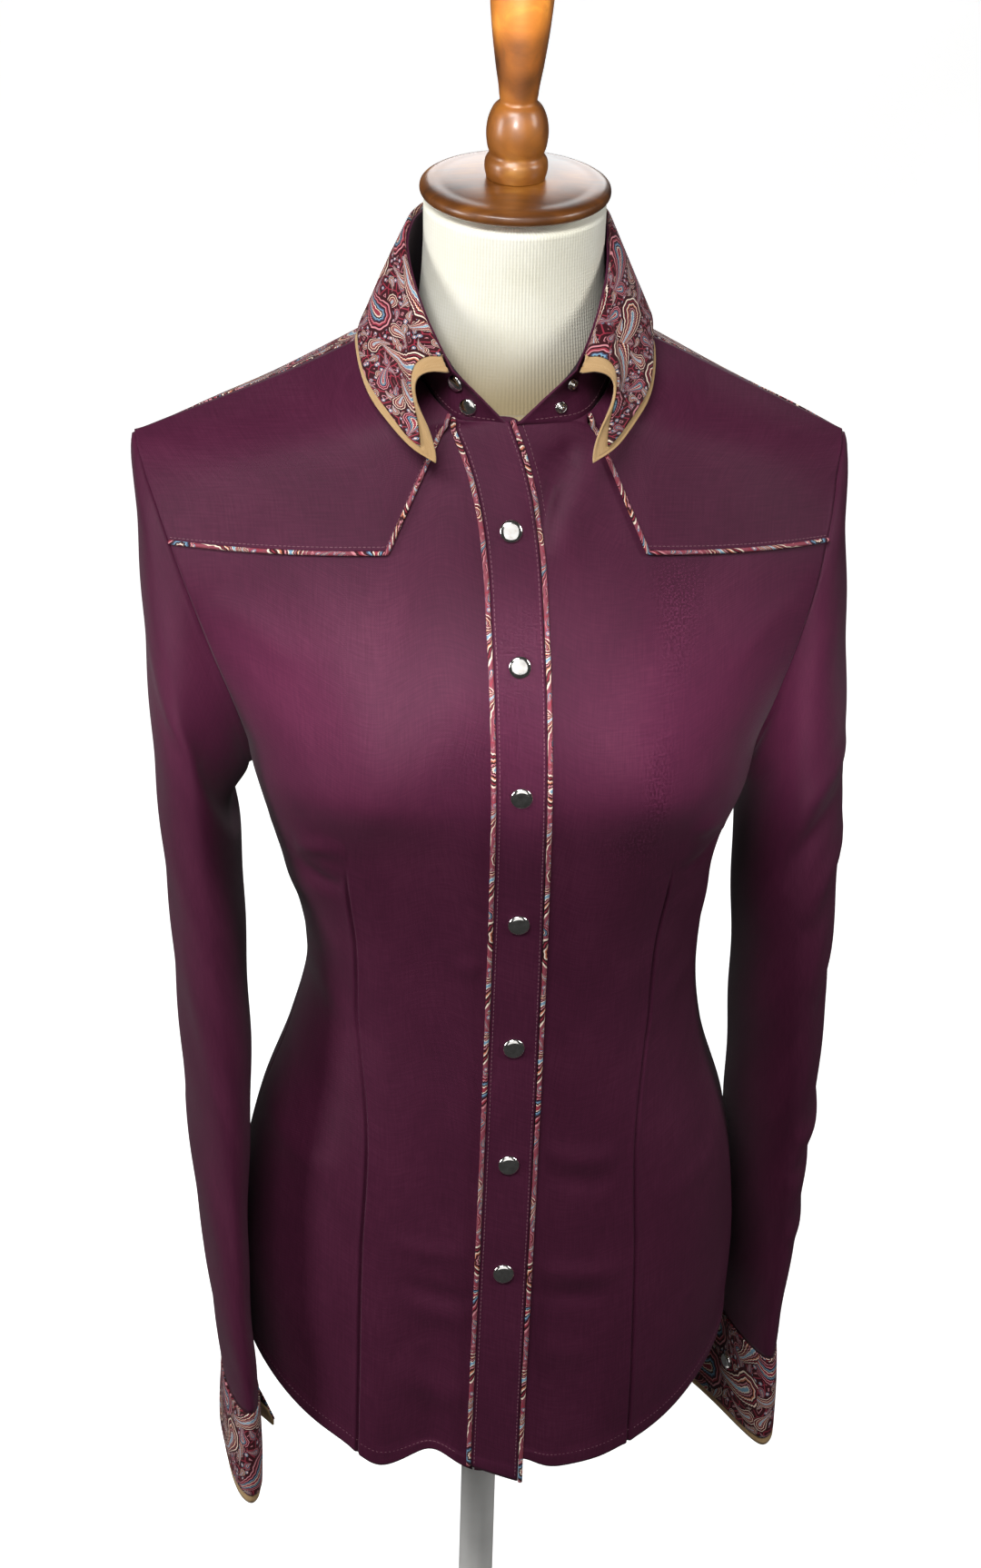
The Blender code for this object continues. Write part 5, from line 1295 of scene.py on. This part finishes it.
def leaf_point(u, v):
    """Collar leaf: v from the roll (0) to the edge (1); below 0 it turns over to the stand."""
    roll, edge = roll_point(u), collar_curve(LEAF_EDGE_CURVE, u, 0.0)
    edge = edge + roll_shift(edge)
    away = unit_vectors(roll * (1, 1, 0))
    fallen = np.clip(v, 0, None)
    arch = np.sin(math.pi * np.clip(v, 0, 1))[..., None]
    bow = np.sin(math.pi * np.clip(v, 0, 1)**LEAF_BOW_HIGH)**LEAF_BOW_FULL
    front = np.clip((np.abs(u) - LEAF_FRONT_START) / (1 - LEAF_FRONT_START), 0, 1)
    place = roll + (edge - roll) * fallen[..., None]
    standoff = LEAF_STANDOFF + LEAF_FRONT_STANDOFF * front[..., None]
    turned_over = np.clip(1 + v / ROLL_SHARE, 0, 1)[..., None]
    place = place + away * (LEAF_BULGE * arch + standoff * turned_over)
    place[..., 2] += (LEAF_ROUND_UP * turned_over[..., 0]
                      + ROLL_HEIGHT * np.sin(math.pi * turned_over[..., 0]))
    place[..., 0] += np.sign(u) * front * LEAF_FRONT_BOW * bow
    place[..., 2] += LEAF_CREST * front * bow * np.clip(1 - v / LEAF_CREST_END, 0, 1)
    return place


def leaf_normal(u, v):
    """Unit normals of the leaf, out of the collar."""
    high, low = np.minimum(u + STEP, 1), np.maximum(u - STEP, -1)
    return unit_vectors(np.cross(leaf_point(high, v) - leaf_point(low, v),
                                 leaf_point(u, v + STEP) - leaf_point(u, v - STEP)))


def stand_normal(u, v):
    """Unit normals of the stand, out of the collar."""
    along = stand_point(u + STEP, v) - stand_point(u - STEP, v)
    return unit_vectors(np.cross(stand_point(u, v + STEP) - stand_point(u, v - STEP), along))


rows = np.concatenate([np.linspace(1, 0, 21), (-0.04, -0.09, -0.15)])
u, v = np.broadcast_arrays(np.linspace(-1, 1, 181)[None, :], rows[:, None])
points = stand_point(u, v)
points -= stand_normal(u, v) * (STAND_TUCK * np.clip(-v / STAND_TUCK_SHARE, 0, 1))[..., None]
stand = piece("collar_stand_band", points, PLUM, CLOTH, inner=PLUM_SHADED_INSIDE)
sew(stand, ["collar_stand"], "plum_cloth")

span = 1 - LEAF_FRONT_SHOW
rows = np.concatenate([np.linspace(-ROLL_SHARE, 0, 9)[:-1],
                       np.linspace(0, 1 - LEAF_EDGE_SHOW, 44)])
u, v = np.broadcast_arrays(np.linspace(-span, span, 221)[None, :], rows[:, None])
ripple = LEAF_RIPPLE * np.sin(u * 23 + v * 4) * np.clip(v, 0, 1)
leaf_points = leaf_point(u, v) + leaf_normal(u, v) * ripple[..., None]
leaf = piece("collar_leaf_fall", leaf_points, PAISLEY, CLOTH, inner=PLUM_SHADED_INSIDE)
sew(leaf, ["collar_leaf"], "paisley_cloth")


def flange_border(inset, count=181):
    """(u, v) along the leaf's border, set in by a share of its front band and its edge border."""
    end, low = 1 - inset * LEAF_FRONT_SHOW, 1 - inset * LEAF_EDGE_SHOW
    rise = np.concatenate([np.linspace(-ROLL_SHARE, 0, 9)[:-1], np.linspace(0, 1, 40)]) * low
    run = np.linspace(-end, end, count)
    side = np.full(len(rise) - 1, end)
    return (np.concatenate([-side, run, side]),
            np.concatenate([rise[:-1], np.full(count, low), rise[-2::-1]]))


insets = np.array([0.0, 0.10, 0.22, 0.34, 0.45, 0.70, 1.0, 1.4, 1.8])
u, v = (np.stack(axis) for axis in zip(*[flange_border(inset) for inset in insets]))
crease = stitched_groove((insets - BORDER_SEAM)[:, None] * 0.006, BORDER_SEAM_DEPTH, 0.0006)
drop = CLOTH + BORDER_GAP - crease * (insets < 1)[:, None]
points = (leaf_point(u, v) - leaf_normal(u, v) * drop[..., None])[::-1]
flange = piece("collar_tan_border", points, TAN, BORDER_CLOTH)
sew(flange, ["collar_flange"], "tan_cloth")

# %% [markdown]
# ## Snaps
# A western snap is a thin nickel cap, pressed over a ring whose prongs grip the cloth. The caps
# are turned profiles: a low dome with a rolled rim. The open stand shows two caps on one side and
# the two studs that they press onto on the other: a ring with a knob in it.

# %% Snaps
def cap_profile(radius):
    """A cap from its middle to its rim: a low dome, then the rolled edge."""
    return rounded(((0.0004, 0.00235), (radius * 0.45, 0.00225), (radius * 0.78, 0.0019),
                    (radius * 0.95, 0.0013), (radius, 0.0008), (radius * 0.97, 0.0001)), 20)


def stud_profile(radius):
    """A stud from its middle to its rim: the knob, its neck, then the ring round it."""
    return rounded(((0.0002, 0.0034), (radius * 0.30, 0.0032), (radius * 0.44, 0.0027),
                    (radius * 0.40, 0.0020), (radius * 0.40, 0.0012), (radius * 0.62, 0.0010),
                    (radius * 0.82, 0.0014), (radius, 0.0009), (radius * 0.97, 0.0)), 34)


def fitting(name, profile, spot, normal, node_name):
    """A nickel fitting on the cloth, its axis along the cloth's normal."""
    body = piece(name, turn_profile(profile, 40, spot, normal), NICKEL, wrap=True, caps=True)
    stand_in(body, "nickel", node_name)


SNAP_HEIGHTS = (0.954, 0.884, 0.809, 0.7265, 0.6445, 0.5680, 0.4950)
SNAP_RADIUS, STAND_SNAP_RADIUS, STUD_RADIUS, CUFF_SNAP_RADIUS = 0.00625, 0.0048, 0.0034, 0.0050
for number, height in enumerate(SNAP_HEIGHTS, start=1):
    t = np.array([float(solve(lambda share: front_point(0.0, share)[..., 2] - height, 0.0, 1.0))])
    s = placket_s(np.zeros(1), t)
    fitting("placket_cap_%d" % number, cap_profile(SNAP_RADIUS),
            front_cloth(s, t, LAYER_LIFT)[0], outward(front_point, s, t, 1)[0],
            "placket_snap_%d" % number)
for name, u, v, profile in (("stand_snap_upper", -0.900, 0.50, cap_profile(STAND_SNAP_RADIUS)),
                            ("stand_snap_lower", -0.905, 0.20, cap_profile(STAND_SNAP_RADIUS)),
                            ("stand_stud_upper", 0.905, 0.50, stud_profile(STUD_RADIUS)),
                            ("stand_stud_lower", 0.910, 0.20, stud_profile(STUD_RADIUS))):
    u, v = np.array([u]), np.array([v])
    normal = stand_normal(u, v)[0]
    fitting(name.replace("stand_", "stand_nickel_"), profile,
            stand_point(u, v)[0] + normal * 0.0001, normal, name)
for side in ("right", "left"):
    spot, normal = on_cuff(side, np.array([math.radians(CUFF_SNAP_TURN[side])]),
                           np.array([0.45]), 0.0006)
    fitting("cuff_cap_" + side, cap_profile(CUFF_SNAP_RADIUS), spot[0], normal[0],
            "cuff_snap_" + side)

# %% [markdown]
# ## Stitching
# Topstitches are short lengths of thread that dip into the cloth. Each one is a small capsule of
# six sides; hundreds of them share one mesh, placed by an array sum, with no loop over stitches.
# A stitch is a table of rings, and a run of stitches is a line on a panel and its normals.

# %% Stitches
STITCH_PITCH, STITCH_LENGTH, THREAD_RADIUS = 0.0026, 0.0019, 0.00022
STITCH_SIDES = 6
# A stitch from end to end: share of its length, radius and lift, both in thread radii.
STITCH_RINGS = ((0.0, 0.35, -0.4), (0.25, 1.0, 0.45), (0.75, 1.0, 0.45), (1.0, 0.35, -0.4))
PLACKET_STITCH_INSET, BESIDE_PLACKET, BESIDE_FROM_T = 0.0019, 0.0205, 0.82       # metres, t
HEM_STITCH_T, BACK_HEM_STITCH_T, YOKE_STITCH, BACK_YOKE_STITCH = 0.0100, 0.0098, 0.0046, 0.0035
STAND_STITCHES, CUFF_STITCH, STITCH_ENDS = (0.07, 0.86), 0.05, 0.985


def stitch_run(path, normals):
    """Vertices and faces of a row of stitches along a path: capsules spaced at one pitch."""
    length = running_length(path)
    seats = np.arange(STITCH_PITCH, length[-1] - STITCH_PITCH, STITCH_PITCH)

    def at(where, values):
        """Values at distances along the path, linear between its points."""
        return np.stack([np.interp(where, length, values[:, k]) for k in range(3)], axis=1)

    start, end = at(seats - STITCH_LENGTH / 2, path), at(seats + STITCH_LENGTH / 2, path)
    up_axis = at(seats, normals)
    along = end - start
    side = unit_vectors(np.cross(along, up_axis))
    angle = np.linspace(0, 2 * math.pi, STITCH_SIDES, endpoint=False)[None, None, :, None]
    share, size, lift = np.array(STITCH_RINGS).T[:, None, :, None, None]
    size, lift = size * THREAD_RADIUS, lift * THREAD_RADIUS
    ring = np.cos(angle) * side[:, None, None] + np.sin(angle) * up_axis[:, None, None]
    points = (start[:, None, None] + along[:, None, None] * share + ring * size
              + up_axis[:, None, None] * lift)
    corners = len(STITCH_RINGS) * STITCH_SIDES
    index = np.arange(corners).reshape(-1, STITCH_SIDES)
    after = np.roll(index, -1, axis=1)
    sides = np.stack([index[:-1], index[1:], after[1:], after[:-1]], axis=-1).reshape(-1, 4)
    first = np.arange(len(seats))[:, None] * corners
    faces = first[:, :, None] + sides
    ends = [first + row for row in (index[0], index[-1][::-1])]
    return points.reshape(-1, 3), faces.reshape(-1, 4).tolist() + np.concatenate(ends).tolist()


def stitching(name, runs, finish):
    """One mesh for all the stitches of a colour."""
    vertices, faces = [], []
    for path, normals in runs:
        points, quads = stitch_run(path, normals)
        start = sum(len(done) for done in vertices)
        faces += [[start + corner for corner in face] for face in quads]
        vertices.append(points)
    body = mesh_object(name, np.concatenate(vertices).tolist(), faces, finish)
    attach(body, "root")
    print(name, len(faces) // (STITCH_SIDES * (len(STITCH_RINGS) - 1) + 2), "stitches")


def on_front(s, t, lift, laid=False):
    """A line on the front's cloth and its normals."""
    return front_cloth(s, t, lift, laid), outward(front_point, s, t, 1)


# In turn: both edges of the placket, the yoke lines and the hem, and a line beside the placket.
body_runs = []
rise = np.linspace(0.002, 0.999, 500)
for offset in (-1, 1):
    x = np.full(len(rise), offset * (PLACKET_HALF_WIDTH - PLACKET_STITCH_INSET))
    t = rise * placket_top(x)
    body_runs.append(on_front(placket_s(x, t), t, LAYER_LIFT, laid=True))
clear = yoke_s > 0.06
for side in (-1, 1):
    body_runs.append(on_front(side * yoke_s[clear], yoke_t[clear] + YOKE_STITCH, YOKE_LIFT))
    body_runs.append(on_front(side * np.linspace(STITCH_ENDS, 0.09, 400),
                              np.full(400, HEM_STITCH_T), 0.0))
t = np.linspace(0.02, 0.886, 300)
s, high = placket_s(np.full(300, BESIDE_PLACKET), t), t > BESIDE_FROM_T
body_runs.append(on_front(s[high], t[high], 0.0))
# The back's hem and yoke line, then the collar stand's two edges.
s = np.linspace(-STITCH_ENDS, STITCH_ENDS, 500)
for level in (BACK_HEM_STITCH_T, BACK_YOKE_SHARE + BACK_YOKE_STITCH):
    t = np.full(500, level)
    body_runs.append((back_cloth(s, t, YOKE_LIFT), outward(back_point, s, t, -1)))
u = np.linspace(-STITCH_ENDS, STITCH_ENDS, 400)
for level in STAND_STITCHES:
    v = np.full(400, level)
    body_runs.append((stand_point(u, v), stand_normal(u, v)))
stitching("plum_topstitching", body_runs, PLUM_THREAD)

cuff_runs = []
for side in ("right", "left"):
    slit = math.radians(CUFF_SLIT_TURN[side])
    turn = np.linspace(slit - 2 * math.pi + 0.10, slit - 0.04, 300)
    cuff_runs.append(on_cuff(side, turn, np.full(300, CUFF_STITCH), 0.0002))
stitching("cuff_topstitching", cuff_runs, PLUM_THREAD)

# %% [markdown]
# ## The dress form
# The form is a smooth padded body under cream jersey, closed at arms and bottom, with a neck that
# ends in a turned wooden cap and finial. Neck, cap, finial, pole and base are profiles or rings;
# the trunk is the body's own surface set in by the cloth's room, so it never touches the shirt.

# %% Dress form
FORM_INSET, FORM_NECK_INSET, FORM_SIDE, FORM_COLUMNS = 0.0050, 0.0030, 0.985, 64
FORM_BOTTOM_Z, FORM_TOP_SHARE, SHOULDER_Y = 0.425, 0.975, 0.004
CAP_CENTRE_Z, CAP_RADIUS, FINIAL_HEIGHT = 1.120, 0.0520, 0.136
CAP_TILT = math.radians(5)
POLE_RADIUS, BASE_RADIUS, BASE_THICKNESS = 0.011, 0.140, 0.010


def form_ring(t):
    """Front, armhole plate, back and armhole plate of the trunk at one height, as one ring."""
    s = np.linspace(-FORM_SIDE, FORM_SIDE, FORM_COLUMNS)
    level = np.full_like(s, t)
    inset = FORM_INSET + FORM_NECK_INSET * np.clip((t - 0.85) / 0.06, 0, 1)
    front = (body_point(FRONT_SECTIONS, s, level)
             - outward(lambda *at: body_point(FRONT_SECTIONS, *at), s, level, 1) * inset)
    back = back_point(s[::-1], level) - outward(back_point, s[::-1], level, -1) * inset
    plates = [start + (end - start) * np.linspace(0, 1, 12)[1:-1, None]
              for start, end in ((front[-1], back[0]), (back[-1], front[0]))]
    return np.concatenate([front, plates[0], back, plates[1], front[:1]])


low = float(solve(lambda t: front_point(0.0, t)[..., 2] - FORM_BOTTOM_Z, 0.0, 1.0))
rings = np.stack([form_ring(t) for t in np.linspace(low, FORM_TOP_SHARE, 90)])
rings[0, :, 2] = FORM_BOTTOM_Z
centre = rings.mean(axis=1, keepdims=True)
closing = np.linspace(0.02, 1, 12, endpoint=False)[:, None, None]
bottom = centre[0] + (rings[0] - centre[0]) * closing
ridge = np.array([0.0, SHOULDER_Y, 0.0])
top = rings[-1] * (1, 0, 1) + (rings[-1] * (0, 1, 0) - ridge) * closing[::-1] + ridge
trunk = piece("form_body", np.concatenate([bottom, rings, top]), JERSEY, wrap=True, caps=True)
stand_in(trunk, "cream_jersey", "form_torso")

# Rings of the neck: height, half width, depth in front, depth behind.
NECK_RINGS = ((0.960, 0.058, 0.056, 0.048), (1.000, 0.058, 0.058, 0.048),
              (1.030, 0.055, 0.054, 0.049), (1.055, 0.0515, 0.0515, 0.050),
              (1.080, NECK_RADIUS, NECK_RADIUS, NECK_RADIUS),
              (1.1085, NECK_RADIUS, NECK_RADIUS, NECK_RADIUS))
rows = rounded(NECK_RINGS, 60)
angle = np.linspace(0, 2 * math.pi, 129)[None, :]
z, half, front, back = rows.T[:, :, None]
depth = np.where(np.sin(angle) < 0, front, back)
points = np.stack([half * np.cos(angle), depth * np.sin(angle), z + 0 * angle], axis=-1)
points[..., 2] += points[..., 1] * math.tan(CAP_TILT) * np.clip((z - 1.05) / 0.058, 0, 1)
neck_cover = piece("form_neck", points, JERSEY, wrap=True, caps=True)
stand_in(neck_cover, "cream_jersey", "form_torso")

# Turned profiles: (radius, height) from the middle of the top to the edge or foot.
CAP_PROFILE = ((0.0005, 0.0035), (0.020, 0.0032), (0.040, 0.0018), (CAP_RADIUS - 0.002, 0.0001),
               (CAP_RADIUS - 0.0005, -0.0010), (CAP_RADIUS, -0.0026),
               (CAP_RADIUS - 0.0002, -0.0046), (CAP_RADIUS - 0.0012, -0.0060),
               (CAP_RADIUS - 0.0030, -0.0066), (0.0460, -0.0066))
FINIAL_PROFILE = ((0.0004, FINIAL_HEIGHT), (0.0075, 0.1345), (0.0135, 0.1295), (0.0168, 0.1200),
                  (0.0172, 0.1080), (0.0158, 0.0880), (0.0130, 0.0660), (0.0106, 0.0500),
                  (0.0104, 0.0455), (0.0122, 0.0440), (0.0152, 0.0385), (0.0168, 0.0300),
                  (0.0160, 0.0210), (0.0150, 0.0165), (0.0166, 0.0140), (0.0172, 0.0090),
                  (0.0160, 0.0035))
POLE_PROFILE = ((POLE_RADIUS, FORM_BOTTOM_Z - 0.0003), (POLE_RADIUS, BASE_THICKNESS))
BASE_PROFILE = ((0.0005, BASE_THICKNESS), (0.07, BASE_THICKNESS),
                (BASE_RADIUS - 0.003, BASE_THICKNESS), (BASE_RADIUS - 0.0008, 0.0092),
                (BASE_RADIUS, 0.007), (BASE_RADIUS, 0.0))
on_neck = (0, 0, CAP_CENTRE_Z), (0.0, -math.sin(CAP_TILT), math.cos(CAP_TILT))
on_floor = (0, 0, 0), (0, 0, 1)
for name, profile, count, stood, finish, slot_name in (
        ("neck_cap", CAP_PROFILE, 70, on_neck, WOOD, "stained_wood"),
        ("finial", FINIAL_PROFILE, 150, on_neck, WOOD, "stained_wood"),
        ("pole", POLE_PROFILE, 12, on_floor, WHITE_STEEL, "white_steel"),
        ("base", BASE_PROFILE, 40, on_floor, WHITE_STEEL, "white_steel")):
    made = piece(name + "_turned", turn_profile(rounded(profile, count), 128, *stood), finish,
                 wrap=True, caps=True)
    stand_in(made, slot_name, name)

# %% [markdown]
# ## Studio
# A pale paper floor curves up behind; it is one-sided, so a view from behind looks through it.
# The key light stands high and in front, so the chest is bright and the stomach falls into half
# shade. Two tall softboxes fill in the sides and one the back. A narrow beam lifts the chest below
# the collar, a small one lights the finial, and the wood and the snaps have a white card to mirror.

# %% Floor and lights
SWEEP_FRONT_Y, SWEEP_BEND_Y, SWEEP_RADIUS, SWEEP_TOP_Z, SWEEP_HALF_WIDTH = -4.0, 2.0, 1.5, 6.0, 5.0
bend = np.linspace(0, math.pi / 2, 16)[1:]
profile = [(SWEEP_FRONT_Y, 0.0), (SWEEP_BEND_Y, 0.0)]
profile += [(SWEEP_BEND_Y + SWEEP_RADIUS * math.sin(turn), SWEEP_RADIUS * (1 - math.cos(turn)))
            for turn in bend]
profile += [(SWEEP_BEND_Y + SWEEP_RADIUS, SWEEP_TOP_Z)]
paper, tree, shader = blank_material("white_backdrop_paper", Roughness=0.95,
                                     Base_Color=linear("#e8e8e6"), Emission_Strength=0.80,
                                     Emission_Color=linear("#ffffff"))
behind = node(tree, "NewGeometry").outputs["Backfacing"]
one_sided = node(tree, "MixShader", {"Fac": behind, 1: shader, 2: node(tree, "BsdfTransparent")})
tree.links.new(one_sided.outputs[0], tree.nodes["Material Output"].inputs["Surface"])
floor = mesh_object("studio_sweep",
                    [(x, y, z) for y, z in profile for x in (-SWEEP_HALF_WIDTH, SWEEP_HALF_WIDTH)],
                    [(2 * i, 2 * i + 1, 2 * i + 3, 2 * i + 2) for i in range(len(profile) - 1)],
                    paper)
floor.visible_diffuse = floor.visible_glossy = False

glow, _, _ = blank_material("lit_white_card", Emission_Strength=1.1,
                            Emission_Color=linear("#ffffff"))
card = mesh_object("reflector_card", [(-0.9, -2.4, 2.8), (0.9, -2.4, 2.8), (0.9, -2.2, 0.5),
                                      (-0.9, -2.2, 0.5)], [(0, 1, 2, 3)], glow)
card.visible_camera = card.visible_diffuse = card.visible_shadow = False

world = bpy.data.worlds.new("white_room")
bpy.context.scene.world = world
world.use_nodes = True
room = world.node_tree.nodes["Background"].inputs
room["Color"].default_value = linear("#ffffff")
room["Strength"].default_value = 0.05

# Lights: name, place, the point it is aimed at, width and height, watts, spread in degrees.
LIGHTS = (
    ("key_above", (-0.45, -1.0, 2.0), (0, 0, 0.95), (0.8, 0.4), 21, 180),
    ("fill_left", (-1.9, -0.6, 1.2), (0, 0, 0.9), (0.5, 0.9), 22, 180),
    ("fill_right", (1.7, -0.8, 1.7), (0, 0, 0.9), (0.5, 0.9), 17, 180),
    ("chest_beam", (-0.35, -1.7, 1.22), (0.0, -0.1, 0.855), (0.40, 0.04), 0.155, 6.5),
    ("finial_light", (-0.3, -1.5, 1.50), (0, 0, 1.25), (0.10, 0.10), 0.36, 8),
    ("fill_behind", (0.3, 2.2, 1.9), (0, 0, 0.85), (1.2, 0.8), 16, 180),
)
for name, place, target, size, watts, spread in LIGHTS:
    data = bpy.data.lights.new(name, "AREA")
    data.shape = "RECTANGLE"
    data.size, data.size_y = size
    data.energy, data.spread = watts, math.radians(spread)
    lamp = bpy.data.objects.new(name, data)
    bpy.context.scene.collection.objects.link(lamp)
    lamp.location = place
    lamp.rotation_euler = (Vector(place) - Vector(target)).to_track_quat("Z", "Y").to_euler()
bpy.data.objects["fill_behind"].visible_camera = False
bpy.context.scene.view_settings.view_transform = "Standard"
